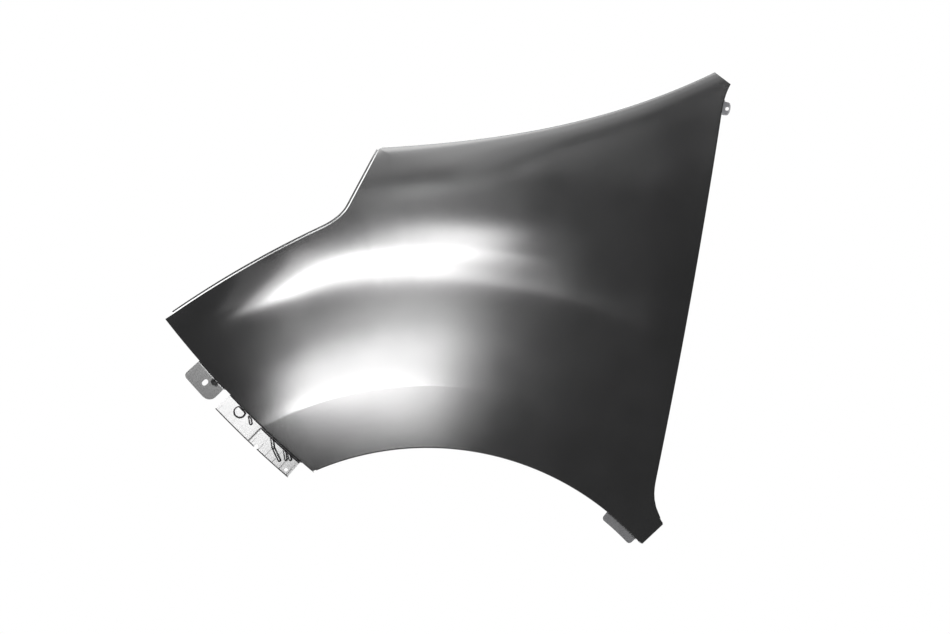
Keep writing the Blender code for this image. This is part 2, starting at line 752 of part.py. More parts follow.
def rounded_places(length, first, last, middle):
    """Distances along a plate, close together where its corners are round."""
    corner = 1 - np.cos(np.linspace(0, math.pi / 2, CORNER_STATIONS))
    straight = np.linspace(first, length - last, middle)[1:-1]
    return np.concatenate([first * corner, straight, length - last * corner[::-1]])


def angle_bracket(edge, leg, lean_deg, widths, cuts, relief=None, lip=0):
    """A leg against a fold of the panel, and a plate that stands out from it, with an optional lip."""
    points, along, out = edge
    inboard = square_to(np.broadcast_to(INBOARD, points.shape), along)
    forward = np.cross(along, inboard)
    forward *= np.sign(dot(forward, out))
    heading = inboard * np.sign(leg[1] - leg[0])
    lean = math.radians(lean_deg)
    plate = math.cos(lean) * forward + math.sin(lean) * inboard
    face = np.cross(along, plate)
    face *= -np.sign(dot(face, INBOARD))
    start = points + WELD_GAP * forward + leg[0] * inboard
    rows = [start, *run(start, heading, abs(leg[1] - leg[0]))]
    rows += bend(rows[-1], heading, plate, BRACKET_FOLD_RADIUS)
    root = rows[-1]
    raised = 0
    for k in range(1, cuts + 1):
        across = widths * k / cuts
        if relief is not None:
            raised = relief(across) * face
        rows.append(root + plate * across + raised)
    if lip:
        rows += bend(rows[-1], plate, inboard, BRACKET_FOLD_RADIUS)
        rows += run(rows[-1], inboard, lip)
    sheet = Sheet()
    sheet.add_rows(rows)
    return sheet, root, plate, face, along


def finish_bracket(name, sheet, holder, material, side=-1):
    collection, parent = holder
    bracket = mesh_object(name, sheet, collection, parent)
    bracket.data.materials.append(material)
    thicken(bracket, BRACKET_SHEET)
    bracket.modifiers[-1].offset = side
    return bracket


def plate_hole(frame, place, across, width, length):
    """A hole in a bracket's plate, with its slot across the plate."""
    root, plate, face = (between(rows, place) for rows in frame[1:4])
    return width, length, frame_matrix(root + across * plate, face, plate)


def bumper_bracket(holder, cutters, centre, material):
    flat, distances = front_places(BUMPER_START, BUMPER_LENGTH, BUMPER_STATIONS)
    distances = distances[::-1]

    def relief(across):
        fading_in = smooth_step(across / BEAD_HALF_WIDTH)
        return fading_in * bumper_relief(distances[:, None], across)

    widths = np.full((len(flat), 1), BUMPER_WIDTH - 2 * BRACKET_FOLD_RADIUS)
    leg = (FRONT_FLANGE - BRACKET_SHEET, FRONT_FLANGE - BRACKET_SHEET - WELD_LEG)
    edge = edge_frames(flat, centre)
    frame = angle_bracket(edge, leg, 0, widths, BUMPER_CUTS, relief, BUMPER_LIP)
    bracket = finish_bracket("bumper_bracket", frame[0], holder, material)
    hole = (1 - BUMPER_HOLE_AT / BUMPER_LENGTH) * (len(flat) - 1)
    notch = (1 - BUMPER_NOTCH_AT / BUMPER_LENGTH) * (len(flat) - 1)
    reach = BUMPER_WIDTH - BRACKET_FOLD_RADIUS
    slots = [
        plate_hole(frame, hole, BUMPER_HOLE_OUT, BUMPER_HOLE, BUMPER_HOLE),
        plate_hole(frame, notch, reach, 2 * BUMPER_NOTCH_RADIUS, 3 * BUMPER_NOTCH_RADIUS),
    ]
    cut_holes(bracket, slots, cutters, holder[1])


def headlamp_tab(holder, cutters, centre, material):
    path = front_edge()
    start = BUMPER_START + BUMPER_LENGTH + TAB_CLEARANCE
    distances = rounded_places(TAB_LENGTH, TAB_LOWER_RADIUS, TAB_CORNER_RADIUS, TAB_STATIONS)
    flat = share_points(path, (start + distances) / path_length(path))
    widths = TAB_WIDTH - BRACKET_FOLD_RADIUS
    widths = widths - end_rounding(distances, TAB_LENGTH, TAB_LOWER_RADIUS, TAB_CORNER_RADIUS)
    leg = (FRONT_FLANGE - BRACKET_SHEET, FRONT_FLANGE - BRACKET_SHEET - WELD_LEG)

    def relief(across):
        return tab_relief(distances[:, None], across)

    edge = edge_frames(flat, centre)
    frame = angle_bracket(edge, leg, 0, widths, TAB_CUTS, relief)
    bracket = finish_bracket("headlamp_tab", frame[0], holder, material)
    place = np.interp(TAB_HOLE_AT, distances, np.arange(len(distances)))
    slots = [plate_hole(frame, place, TAB_HOLE_OUT, TAB_HOLE_WIDTH, TAB_HOLE_LENGTH)]
    cut_holes(bracket, slots, cutters, holder[1])


def pillar_tab(holder, cutters, centre, material):
    """The half-round tab behind the rear top corner, on the door edge's fold."""
    path = rear_edge()
    half = PILLAR_TAB_WIDTH / 2
    angles = np.linspace(-math.pi / 2, math.pi / 2, TAB_STATIONS)
    heights = EAR[1] - PILLAR_TAB_DROP + half * np.sin(angles)
    rising = path[path[:, 1] > FOOT_WAIST[1]]
    rising = rising[: int(np.argmax(rising[:, 0])) + 1]
    flat = np.stack([np.interp(heights, rising[:, 1], rising[:, 0]), heights], -1)
    widths = (PILLAR_TAB_LENGTH + half * np.cos(angles))[:, None]
    leg = (DOOR_FLANGE - BRACKET_SHEET - WELD_LEG, DOOR_FLANGE - BRACKET_SHEET)
    edge = edge_frames(flat, centre)
    frame = angle_bracket(edge, leg, PILLAR_TAB_TURN_DEG, widths, PLATE_CUTS)
    bracket = finish_bracket("pillar_tab", frame[0], holder, material, 1)
    middle = (len(flat) - 1) / 2
    slots = [plate_hole(frame, middle, PILLAR_TAB_LENGTH, PILLAR_TAB_HOLE, PILLAR_TAB_HOLE)]
    cut_holes(bracket, slots, cutters, holder[1])


def sill_bracket(holder, centre, material):
    """The strip below the arch edge at the foot, which the end of the sill clips over."""
    distances = rounded_places(SILL_LENGTH, SILL_CORNER_RADIUS, SILL_CORNER_RADIUS, TAB_STATIONS)
    angles = math.radians(ARCH_REAR_DEG) + (SILL_START + distances) / ARCH_RADIUS
    flat = ARCH_RADIUS * np.stack([np.cos(angles), np.sin(angles)], -1)
    widths = SILL_WIDTH - BRACKET_FOLD_RADIUS
    widths = widths - end_rounding(distances, SILL_LENGTH, SILL_CORNER_RADIUS, SILL_CORNER_RADIUS)
    leg = (ARCH_FLANGE - BRACKET_SHEET, ARCH_FLANGE - BRACKET_SHEET - WELD_LEG)
    edge = edge_frames(flat, centre)
    frame = angle_bracket(edge, leg, 0, widths, PLATE_CUTS)
    finish_bracket("sill_bracket", frame[0], holder, material)


def primer():
    """Black electro-coat: a thin, slightly glossy primer over the steel."""
    material = bpy.data.materials.new("black_primer")
    material.use_nodes = True
    shader = material.node_tree.nodes["Principled BSDF"]
    shader.inputs["Base Color"].default_value = (0.020, 0.020, 0.021, 1)
    shader.inputs["Roughness"].default_value = 0.30
    shader.inputs["Metallic"].default_value = 0
    return material


def main():
    for old in list(bpy.data.objects):
        bpy.data.objects.remove(old)
    fender = bpy.data.collections.new("car_fender")
    cutters = bpy.data.collections.new("cutters")
    for collection in (fender, cutters):
        bpy.context.scene.collection.children.link(collection)
    cutters.hide_render = True
    wheel_centre = bpy.data.objects.new("wheel_centre", None)
    fender.objects.link(wheel_centre)
    material = primer()
    pads, centre = fender_panel(fender, cutters, wheel_centre, material)
    holder = (fender, wheel_centre)
    bumper_bracket(holder, cutters, centre, material)
    headlamp_tab(holder, cutters, centre, material)
    pillar_tab(holder, cutters, centre, material)
    sill_bracket(holder, centre, material)
    middle, normal, along = pads[0]
    wheel_centre.location = -(middle + PAD_POINT * along + SHEET * normal)


main()
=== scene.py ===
"""Studio picture of a left front car fender in black primer, as finely divided sheets.

X points to the rear of the car, Y inboard and Z up, in metres. Each sheet is laid out about the wheel
centre and then moved into the shared frame.
"""

import json
import math

import bmesh
import bpy
import numpy as np
from mathutils import Matrix, Quaternion, Vector

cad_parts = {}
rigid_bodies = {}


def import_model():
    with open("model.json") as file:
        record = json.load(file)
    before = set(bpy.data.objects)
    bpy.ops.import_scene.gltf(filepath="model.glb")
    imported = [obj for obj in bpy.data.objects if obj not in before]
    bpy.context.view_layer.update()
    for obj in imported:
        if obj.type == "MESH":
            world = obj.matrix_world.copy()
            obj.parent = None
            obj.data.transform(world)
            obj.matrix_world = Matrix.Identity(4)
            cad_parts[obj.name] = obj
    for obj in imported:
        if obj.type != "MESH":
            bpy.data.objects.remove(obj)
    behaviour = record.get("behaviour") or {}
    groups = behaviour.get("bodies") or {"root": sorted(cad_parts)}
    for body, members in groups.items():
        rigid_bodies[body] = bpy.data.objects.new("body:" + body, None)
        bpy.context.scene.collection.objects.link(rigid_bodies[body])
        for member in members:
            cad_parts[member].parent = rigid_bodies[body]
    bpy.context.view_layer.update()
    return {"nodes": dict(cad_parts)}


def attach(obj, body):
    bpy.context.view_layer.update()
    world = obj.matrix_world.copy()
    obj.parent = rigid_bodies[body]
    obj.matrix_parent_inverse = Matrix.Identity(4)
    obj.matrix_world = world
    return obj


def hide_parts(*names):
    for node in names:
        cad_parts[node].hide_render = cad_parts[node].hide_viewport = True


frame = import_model()

# Wheel centre in the shared frame
WHEEL_CENTRE = (0.012345, -0.243674, -0.800545)

# Wheel arch
ARCH_RADIUS = 0.400
ARCH_FRONT_DEG = 113.7
ARCH_REAR_DEG = 41.5

# Front of the panel: places ahead of the wheel centre, and heights above the crown of the arch
NOSE_AHEAD = 0.3694
NOSE_RISE = 0.1808
FRONT_EDGE_BOW = 0.008
LAMP_EDGE_BOW = 0.0055
LAMP_TURN_BACK = 0.2216
LAMP_TURN_UP = 0.1280
LAMP_RISE_BACK = 0.0376
LAMP_RISE_UP = 0.0317
HOOD_FRONT_BACK = 0.0435
HOOD_FRONT_UP = 0.0820
HOOD_FRONT_RISE_DEG = 3.3

# Rear of the panel: the top corner is the ear, and the other points hang from it or stand on the foot
EAR_BACK = 0.4259
EAR_RISE = 0.5109
EAR_LEAN_DEG = 30
HOOD_REAR_AHEAD = 0.0224
HOOD_REAR_UP = 0.0175
HOOD_REAR_RISE_DEG = 25.9
DOOR_TOP_AHEAD = 0.0126
DOOR_TOP_DROP = 0.0393
FOOT_CORNER_OUT = 0.0433
FOOT_CORNER_DEG = 41.66
FOOT_LEAN_DEG = -34.6
FOOT_WAIST_AHEAD = 0.0133
FOOT_WAIST_UP = 0.0407
DOOR_FOOT_AHEAD = 0.0105
DOOR_FOOT_UP = 0.0632
DOOR_EDGE_BOW = 0.0032

# Shape across the car: tilts of the plan section, from the nose to the door
PLAN_STATION_SHARES = (0, 0.125, 0.275, 0.45, 0.625, 0.80, 1)
PLAN_TILTS_DEG = (29.4, 18.1, 11.5, 12.1, 10.3, 8.0, 6.4)

# Section that runs out from the arch edge: lip, crease, waist, shoulder, body and top, one after the other
LIP_RUN = 0.088
LIP_TILT_DEG = 1.3
LIP_TOP_TILT_DEG = 0.3
CREASE_HALF_WIDTH = 0.0008
CREASE_RIDGE_TILT_DEG = 6.5
CREASE_TILT_DEG = 2.6
WAIST_RUN = 0.142
WAIST_TILT_DEG = -8.3
WAIST_RUN_SHARES = (0.384, 0.710)
WAIST_RUN_TILTS_DEG = (-2.6, -6.3)
ROUND_ROWS_SHARE = 0.507
SHOULDER_RUN = 0.140
SHOULDER_TILT_DEG = 8.1
SHOULDER_RUN_SHARE = 0.43
SHOULDER_RUN_TILT_DEG = 5.3
BODY_RUN = 0.090
BODY_TILT_DEG = 2.5
TOP_RUN = 0.240

# Where the ring section dies out before the door
FADE_BACK = 0.298
FADE_LENGTH = 0.177

# Roll-over to the hood: how steep it is at the hood line, and how far down it reaches
BODY_ROLL_DEG = 23.75
BODY_ROLL_REACH = 0.376
EDGE_ROLL_DEG = 17
EDGE_ROLL_REACH = 0.0057
HOOD_LINE_DEG = -4.8
HOOD_LINE_DROP = 0.0567
HOOD_LINE_REACH = 0.0297

# Sheet and its folds
SHEET = 0.0008
FOLD_RADIUS = 0.001
HOOD_FOLD_RADIUS = 0.002
LAMP_FOLD_RADIUS = 0.0005
CORNER_RELIEF = 0.0018
EDGE_STRIP = 0.006
LAMP_LIP_START = 0.012
HOOD_WALL = 0.020
HOOD_SHELF = 0.022
ARCH_FLANGE = 0.012
DOOR_FLANGE = 0.015
FOOT_FLANGE = 0.014
FRONT_FLANGE = 0.013
LAMP_STEP = 0.006
LAMP_STEP_DEG = 66
LAMP_LIP = 0.0016

# Holes in the folds
HOOD_BOLT_HOLE = 0.009
HOOD_SLOT_LENGTH = 0.014
HOOD_PAD_SHARES = (0.0625, 0.375, 0.625, 0.9375)
CLIP_HOLE = 0.0065
CLIP_HOLE_SHARES = (0.10, 0.30, 0.50, 0.70, 0.90)
FOOT_HOLE = 0.008

# Brackets
BRACKET_SHEET = 0.0012
WELD_GAP = 0.00005
WELD_LEG = 0.007
BRACKET_FOLD_RADIUS = 0.0015
BUMPER_START = 0.0235
BUMPER_LENGTH = 0.1368
BUMPER_WIDTH = 0.0290
BUMPER_LIP = 0.0035
BUMPER_LEAN_DEG = -3
BUMPER_NOTCH_AT = 0.0771
BUMPER_NOTCH_RADIUS = 0.0035
BUMPER_HOLE_AT = 0.129
BUMPER_HOLE_OUT = 0.0207
BUMPER_HOLE = 0.0055
BOSS_AT = 0.027
BOSS_OUT = 0.006
BOSS_RADIUS = 0.009
BOSS_HEIGHT = 0.0016
BOSS_SHOULDER = 0.0022
STEP_AT = 0.0635
STEP_WIDTH = 0.0018
STEP_HEIGHT = 0.0012
BEAD_HALF_WIDTH = 0.0026
BEAD_HEIGHT = 0.001
BEAD_SHOULDER = 0.0018
BEAD_START_SHARES = ((0.62, 0.03), (0.70, 0.33), (0.795, 0.02), (0.85, 0.02), (0.30, 0.02))
BEAD_END_SHARES = ((0.70, 0.33), (0.83, 0.58), (0.874, 0.34), (0.908, 0.20), (0.36, 0.22))
TAB_CLEARANCE = 0.0122
TAB_LENGTH = 0.0525
TAB_WIDTH = 0.030
TAB_LEAN_DEG = 4
TAB_CORNER_RADIUS = 0.006
TAB_LOWER_RADIUS = 0.013
TAB_HOLE_WIDTH = 0.0075
TAB_HOLE_LENGTH = 0.0100
TAB_HOLE_AT = 0.0247
TAB_HOLE_OUT = 0.0127
TAB_BOSS_AT = 0.016
TAB_BOSS_OUT = 0.001
TAB_BOSS_RADIUS = 0.006
TAB_BOSS_HEIGHT = 0.0018
PILLAR_TAB_DROP = 0.0303
PILLAR_TAB_WIDTH = 0.0185
PILLAR_TAB_LENGTH = 0.005
PILLAR_TAB_ROUND = 0.0047
PILLAR_TAB_TURN_DEG = -15
PILLAR_TAB_HOLE = 0.0055
SILL_START = 0.0125
SILL_LENGTH = 0.0545
SILL_WIDTH = 0.0125
SILL_CORNER_RADIUS = 0.005

# How finely the sheets are divided
LAMP_COLUMNS = 54
LAMP_TURN_COLUMNS = 12
LAMP_RISE_COLUMNS = 9
HOOD_COLUMNS = 66
LIP_ROWS = 7
CREASE_ROWS = 6
WAIST_ROWS = 17
BODY_ROWS = 57
EAR_ROWS = 13
TOP_ROWS = 8
BEND_CUTS = 6
SHELF_CUTS = 6
PAD_COLUMNS = 4
BUMPER_STATIONS = 320
BUMPER_CUTS = 60
CORNER_STATIONS = 10
TAB_STATIONS = 40
TAB_CUTS = 20
PLATE_CUTS = 4
HOLE_SIDES = 40
CURVE_POINTS = 24
TABLE_POINTS = 3000
PROBE = 0.0002
OVERRUN = 0.004

# Finish of the primer, with the grain sizes in metres. A painted-light factor says how many times paler a
# bracket's coat is than the panel's: painted light, as the pillar tab and sill bracket are the same black
# primer made to look lit.
PRIMER_DARK = (0.0042, 0.0042, 0.0044, 1)
PRIMER_LIGHT = (0.0058, 0.0058, 0.0060, 1)
PRIMER_IOR = 1.53
PANEL_ROUGHNESS = 0.155
BRACKET_ROUGHNESS = 0.24
PANEL_GRAIN_STRENGTH = 1
BRACKET_GRAIN_STRENGTH = 0.15
# Painted light: these coats are paler copies of the black primer, so that the sill bracket and pillar tab
# look lit.
SILL_PAINTED_LIGHT = 16
PILLAR_PAINTED_LIGHT = 90
PRIMER_CLOUDING = 0.02
PRIMER_GRAININESS = 0.02
PRIMER_CLOUD = 0.060
PRIMER_GRAIN = 0.0007
PRIMER_PEEL = 0.0030
PRIMER_GRAIN_DEPTH = 0.000004
PRIMER_PEEL_DEPTH = 0.000010
CLOUD_DETAIL = 3
GRAIN_DETAIL = 2
NOISE_LOW = 0.3
NOISE_HIGH = 0.7
SHARP_DEG = 30

# Studio: each soft box by bearing, height and roll in degrees, distance, width, height and radiance
SOFT_BOXES = (
    ("key_core", -34.0, 32.8, -2.0, 1.670, 0.249, 1.066, 23.6),
    ("key_wide", -35.3, 28.8, -1.3, 1.753, 0.510, 0.926, 9.97),
    ("key_low", -30.1, 19.8, 11.2, 1.700, 0.076, 0.406, 15.0),
    ("key_front", -45.6, 30.8, 11.5, 1.700, 0.638, 0.605, 1.09),
    ("overhead", 12.6, 88.9, 5.9, 1.100, 1.708, 0.540, 2.52),
    ("overhead_strip", -1.0, 89.3, 12.7, 1.400, 1.641, 0.355, 6.64),
    ("overhead_front", -60.2, 70.7, -23.4, 1.300, 0.799, 0.264, 2.94),
    ("rear_top", -168.0, 55.0, 0.0, 1.500, 1.600, 1.300, 8.00),
    ("rear_front", -128.0, 25.0, 0.0, 1.800, 1.500, 1.400, 6.00),
)
LAMP_AIM_HEIGHT = 0.600
ROOM_STRENGTH = 0.357
BACKDROP_EDGE = 0.05
BACKDROP_WHITE = 0.20
FLOOR_HEIGHT = -0.800
FLOOR_RADIUS = 3
FLOOR_SIDES = 64
FLOOR_COLOUR = (0.80, 0.80, 0.80, 1)
FLOOR_WHITE_SHARE = 0.93

# Camera: the photograph's frame in pixels, and the place of the wheel centre in it
PHOTO_WIDTH = 950
PHOTO_HEIGHT = 634
CENTRE_PIXEL_X = 427.5
CENTRE_PIXEL_Y = 733
PIXEL = 0.0014035
SENSOR_MM = 36
CAMERA_DISTANCE = 38
CAMERA_REACH = 380
CAMERA_PLANE = 0.130

CREASE_RADIUS = ARCH_RADIUS + LIP_RUN
WAIST_RADIUS = CREASE_RADIUS + WAIST_RUN
ROUND_ROWS_RADIUS = CREASE_RADIUS + ROUND_ROWS_SHARE * WAIST_RUN
UP = np.array([0.0, 0.0, 1.0])
INBOARD = np.array([0.0, 1.0, 0.0])


def unit(vectors):
    return vectors / np.linalg.norm(vectors, axis=-1, keepdims=True)


def dot(a, b):
    return (a * b).sum(-1, keepdims=True)


def square_to(vectors, along):
    """The part of each vector that is square to a direction, as a unit vector."""
    return unit(vectors - dot(vectors, along) * along)


def smooth_step(share):
    share = np.clip(share, 0, 1)
    return share**3 * (share * (6 * share - 15) + 10)


def smooth_curve(places, values, at):
    """A smooth curve through the values that never overshoots them."""
    places = np.array(places, float)
    values = np.array(values, float)
    step = np.diff(places)
    slope = np.diff(values) / step
    product = slope[:-1] * slope[1:]
    total = np.where(product > 0, slope[:-1] + slope[1:], 1)
    inner = np.where(product > 0, 2 * product / total, 0)
    tangent = np.concatenate([slope[:1], inner, slope[-1:]])
    k = np.clip(np.searchsorted(places, at) - 1, 0, len(step) - 1)
    t = np.clip((at - places[k]) / step[k], 0, 1)
    rise = (3 * t**2 - 2 * t**3) * (values[k + 1] - values[k])
    lean = (t**3 - 2 * t**2 + t) * tangent[k] + (t**3 - t**2) * tangent[k + 1]
    return values[k] + rise + lean * step[k]


def climb(places, tilts_deg, at):
    """Height of a section of these tilts, measured from its last place."""
    fine = np.linspace(places[0], places[-1], TABLE_POINTS)
    slope = np.tan(np.radians(smooth_curve(places, tilts_deg, fine)))
    gained = np.concatenate([[0], np.cumsum((slope[1:] + slope[:-1]) / 2 * np.diff(fine))])
    return np.interp(at, fine, gained) - gained[-1]


def hood_height(x):
    """The hood line: a cubic between its two ends with their rises."""
    length = HOOD_REAR[0] - HOOD_FRONT[0]
    t = (x - HOOD_FRONT[0]) / length
    front = math.tan(math.radians(HOOD_FRONT_RISE_DEG)) * length
    rear = math.tan(math.radians(HOOD_REAR_RISE_DEG)) * length
    rise = (3 * t**2 - 2 * t**3) * (HOOD_REAR[1] - HOOD_FRONT[1])
    return HOOD_FRONT[1] + rise + (t**3 - 2 * t**2 + t) * front + (t**3 - t**2) * rear


def plan_depth(x):
    """How far inboard the plan section has turned at each place between the nose and the door."""
    places = [NOSE[0] + share * (EAR[0] - NOSE[0]) for share in PLAN_STATION_SHARES]
    return -climb(places, PLAN_TILTS_DEG, x)


def ring_depth(radius):
    """Depth of the section that runs out from the arch edge."""
    crease_end = CREASE_RADIUS + CREASE_HALF_WIDTH
    waist_run = [crease_end + share * (WAIST_RADIUS - crease_end) for share in WAIST_RUN_SHARES]
    shoulder = WAIST_RADIUS + SHOULDER_RUN
    body = shoulder + BODY_RUN
    places = [ARCH_RADIUS, CREASE_RADIUS - CREASE_HALF_WIDTH, CREASE_RADIUS, crease_end, *waist_run]
    places += [WAIST_RADIUS, WAIST_RADIUS + SHOULDER_RUN_SHARE * SHOULDER_RUN, shoulder]
    places += [body, body + TOP_RUN]
    tilts = [LIP_TILT_DEG, LIP_TOP_TILT_DEG, CREASE_RIDGE_TILT_DEG, CREASE_TILT_DEG]
    tilts += [*WAIST_RUN_TILTS_DEG, WAIST_TILT_DEG, SHOULDER_RUN_TILT_DEG, SHOULDER_TILT_DEG]
    tilts += [BODY_TILT_DEG, 0]
    return climb(places, tilts, radius)


def roll_depth(drop):
    """Depth of the roll-over at a distance below the hood line."""
    slopes = np.tan(np.radians([BODY_ROLL_DEG, EDGE_ROLL_DEG, HOOD_LINE_DEG]))
    body = slopes[0] * BODY_ROLL_REACH * np.exp(-drop / BODY_ROLL_REACH)
    edge = slopes[1] * EDGE_ROLL_REACH * np.exp(-drop / EDGE_ROLL_REACH)
    hollow = slopes[2] * HOOD_LINE_REACH * (1 - np.tanh((drop - HOOD_LINE_DROP) / HOOD_LINE_REACH))
    return body + edge + hollow


def skin(flat):
    """Points of the outer face over points of the side view."""
    flat = np.asarray(flat, float)
    x = flat[..., 0]
    z = flat[..., 1]
    kept = 1 - smooth_step((x - FADE_BACK) / FADE_LENGTH)
    drop = np.maximum(hood_height(x) - z, 0)
    depth = plan_depth(x) + ring_depth(np.hypot(x, z)) * kept + roll_depth(drop)
    return np.stack([x, depth, z], -1)


def skin_normal(flat):
    """Outward unit normals of the outer face, from small steps along it."""
    step_x = skin(flat + np.array([PROBE, 0])) - skin(flat - np.array([PROBE, 0]))
    step_z = skin(flat + np.array([0, PROBE])) - skin(flat - np.array([0, PROBE]))
    return unit(np.cross(step_x, step_z))


def share_points(path, shares):
    """Points of a flat path at shares of its length."""
    steps = np.linalg.norm(np.diff(path, axis=0), axis=1)
    gone = np.concatenate([[0], np.cumsum(steps)])
    at = np.asarray(shares) * gone[-1]
    return np.stack([np.interp(at, gone, path[:, k]) for k in range(2)], -1)


def path_length(path):
    return np.linalg.norm(np.diff(path, axis=0), axis=1).sum()


def radius_point(path, radius):
    """The point of a path at this distance from the wheel centre."""
    away = np.hypot(path[:, 0], path[:, 1])
    return np.array([np.interp(radius, away, path[:, k]) for k in range(2)])


def bowed(start, end, bow):
    """A shallow arch of points between two points."""
    t = np.linspace(0, 1, CURVE_POINTS)[:, None]
    chord = end - start
    side = np.array([chord[1], -chord[0]]) / np.linalg.norm(chord)
    return start + t * chord + 4 * t * (1 - t) * bow * side


def eased(start, end, leave, arrive):
    """A curve between two points that leaves and arrives in the given directions."""
    t = np.linspace(0, 1, CURVE_POINTS)[:, None]
    reach = np.linalg.norm(end - start)
    ends = (2 * t**3 - 3 * t**2 + 1) * start + (3 * t**2 - 2 * t**3) * end
    return ends + reach * ((t**3 - 2 * t**2 + t) * leave + (t**3 - t**2) * arrive)


def leaning(degrees):
    """An upward direction in the side view that leans rearward by this angle."""
    return np.array([math.sin(math.radians(degrees)), math.cos(math.radians(degrees))])


def round_point(radius, degrees):
    """A point of the side view by its distance and bearing from the wheel centre."""
    return radius * np.array([math.cos(math.radians(degrees)), math.sin(math.radians(degrees))])


NOSE = np.array([-NOSE_AHEAD, ARCH_RADIUS + NOSE_RISE])
LAMP_TURN = NOSE + np.array([LAMP_TURN_BACK, LAMP_TURN_UP])
LAMP_RISE = LAMP_TURN + np.array([LAMP_RISE_BACK, LAMP_RISE_UP])
HOOD_FRONT = LAMP_RISE + np.array([HOOD_FRONT_BACK, HOOD_FRONT_UP])
EAR = np.array([EAR_BACK, ARCH_RADIUS + EAR_RISE])
HOOD_REAR = EAR + np.array([-HOOD_REAR_AHEAD, HOOD_REAR_UP])
DOOR_TOP = EAR - np.array([DOOR_TOP_AHEAD, DOOR_TOP_DROP])
FOOT_CORNER = round_point(ARCH_RADIUS + FOOT_CORNER_OUT, FOOT_CORNER_DEG)
FOOT_WAIST = FOOT_CORNER + np.array([-FOOT_WAIST_AHEAD, FOOT_WAIST_UP])
DOOR_FOOT = FOOT_CORNER + np.array([-DOOR_FOOT_AHEAD, DOOR_FOOT_UP])


def front_edge():
    """From the arch up to the nose."""
    return bowed(round_point(ARCH_RADIUS, ARCH_FRONT_DEG), NOSE, -FRONT_EDGE_BOW)


def lamp_edge():
    """From the nose round the headlamp to the front of the hood line."""
    lower = bowed(NOSE, LAMP_TURN, -LAMP_EDGE_BOW)
    turn = eased(LAMP_TURN, LAMP_RISE, unit(lower[-1] - lower[-2]), unit(HOOD_FRONT - LAMP_RISE))
    return np.concatenate([lower, turn[1:], [HOOD_FRONT]])


def rear_edge():
    """From the arch round the foot and up the door edge to the rear of the hood line."""
    edge = bowed(DOOR_FOOT, DOOR_TOP, DOOR_EDGE_BOW)
    foot = eased(FOOT_CORNER, FOOT_WAIST, leaning(FOOT_LEAN_DEG), leaning(0))
    heel = eased(FOOT_WAIST, DOOR_FOOT, leaning(0), unit(edge[1] - edge[0]))
    ear = eased(DOOR_TOP, EAR, unit(edge[-1] - edge[-2]), leaning(EAR_LEAN_DEG))
    start = round_point(ARCH_RADIUS, ARCH_REAR_DEG)
    return np.concatenate([[start], foot, heel[1:], edge[1:], ear[1:], [HOOD_REAR]])


def column_shares():
    """Even columns, with a narrow one at each end."""
    edge = EDGE_STRIP / (CREASE_RADIUS * math.radians(ARCH_FRONT_DEG - ARCH_REAR_DEG))
    count = LAMP_COLUMNS + HOOD_COLUMNS
    return np.concatenate([[0], np.linspace(edge, 1 - edge, count - 1), [1]])


def ring_radii():
    """Radii of the concentric rows, from the arch into the waist."""
    corner = np.linalg.norm(FOOT_CORNER)
    crease = CREASE_RADIUS + CREASE_HALF_WIDTH * np.linspace(-1, 1, CREASE_ROWS + 1)
    below = np.linspace(ARCH_RADIUS + CORNER_RELIEF, corner - CORNER_RELIEF, LIP_ROWS)
    above = np.linspace(corner + CORNER_RELIEF, crease[0], LIP_ROWS + 1)
    waist = np.linspace(crease[-1], ROUND_ROWS_RADIUS, WAIST_ROWS)
    return [ARCH_RADIUS, *below, corner, *above, *crease[1:], *waist[1:]]


def ring_row(radius, shares):
    """One concentric row between the front edge and the rear edge."""
    ends = [radius_point(front_edge(), radius), radius_point(rear_edge(), radius)]
    angles = [math.atan2(end[1], end[0]) for end in ends]
    angle = angles[0] + shares * (angles[1] - angles[0])
    return radius * np.stack([np.cos(angle), np.sin(angle)], -1)


def top_row():
    """Points along the headlamp edge and the hood line, close together at their shared corner."""
    lamp = lamp_edge()
    lip_start = LAMP_LIP_START / path_length(lamp)
    relief = CORNER_RELIEF / path_length(lamp)
    turn = path_length(lamp[:CURVE_POINTS]) / path_length(lamp)
    rise = path_length(lamp[: 2 * CURVE_POINTS - 1]) / path_length(lamp)
    lower = np.linspace(lip_start, turn, LAMP_COLUMNS - LAMP_TURN_COLUMNS - LAMP_RISE_COLUMNS)
    round_turn = np.linspace(turn, rise, LAMP_TURN_COLUMNS + 1)[1:]
    upper = np.linspace(rise, 1 - relief, LAMP_RISE_COLUMNS)[1:]
    front = share_points(lamp, np.concatenate([[0], lower, round_turn, upper, [1]]))
    x = np.linspace(HOOD_FRONT[0] + CORNER_RELIEF, HOOD_REAR[0] - CORNER_RELIEF, HOOD_COLUMNS - 1)
    x = np.append(x, HOOD_REAR[0])
    return np.concatenate([front, np.stack([x, hood_height(x)], -1)])


def beyond(path, radius):
    """The part of a path that lies farther than this from the wheel centre."""
    start = radius_point(path, radius)
    return np.concatenate([[start], path[np.hypot(path[:, 0], path[:, 1]) > radius]])


def body_rows(shares):
    """Rows that turn from the last circle into the headlamp edge and the hood line."""
    front = beyond(front_edge(), ROUND_ROWS_RADIUS)
    rear = beyond(rear_edge(), ROUND_ROWS_RADIUS)
    length = path_length(rear)
    relief = CORNER_RELIEF / length
    ear = 1 - np.linalg.norm(HOOD_REAR - EAR) / length
    door_top = ear - np.linalg.norm(EAR - DOOR_TOP) / length
    even = np.linspace(0, door_top, BODY_ROWS)[1:]
    leaning_out = np.linspace(door_top, ear - relief, EAR_ROWS)[1:]
    heights = np.concatenate([even, leaning_out, np.linspace(ear, 1, TOP_ROWS + 1)])
    bottom = ring_row(ROUND_ROWS_RADIUS, shares)
    top = top_row()
    u = shares[:, None]
    rows = []
    for v, left, right in zip(heights, share_points(front, heights), share_points(rear, heights)):
        sides = (1 - u) * left + u * right
        corners = (1 - v) * ((1 - u) * bottom[0] + u * bottom[-1]) + v * ((1 - u) * top[0] + u * top[-1])
        rows.append((1 - v) * bottom + v * top + sides - corners)
    return rows


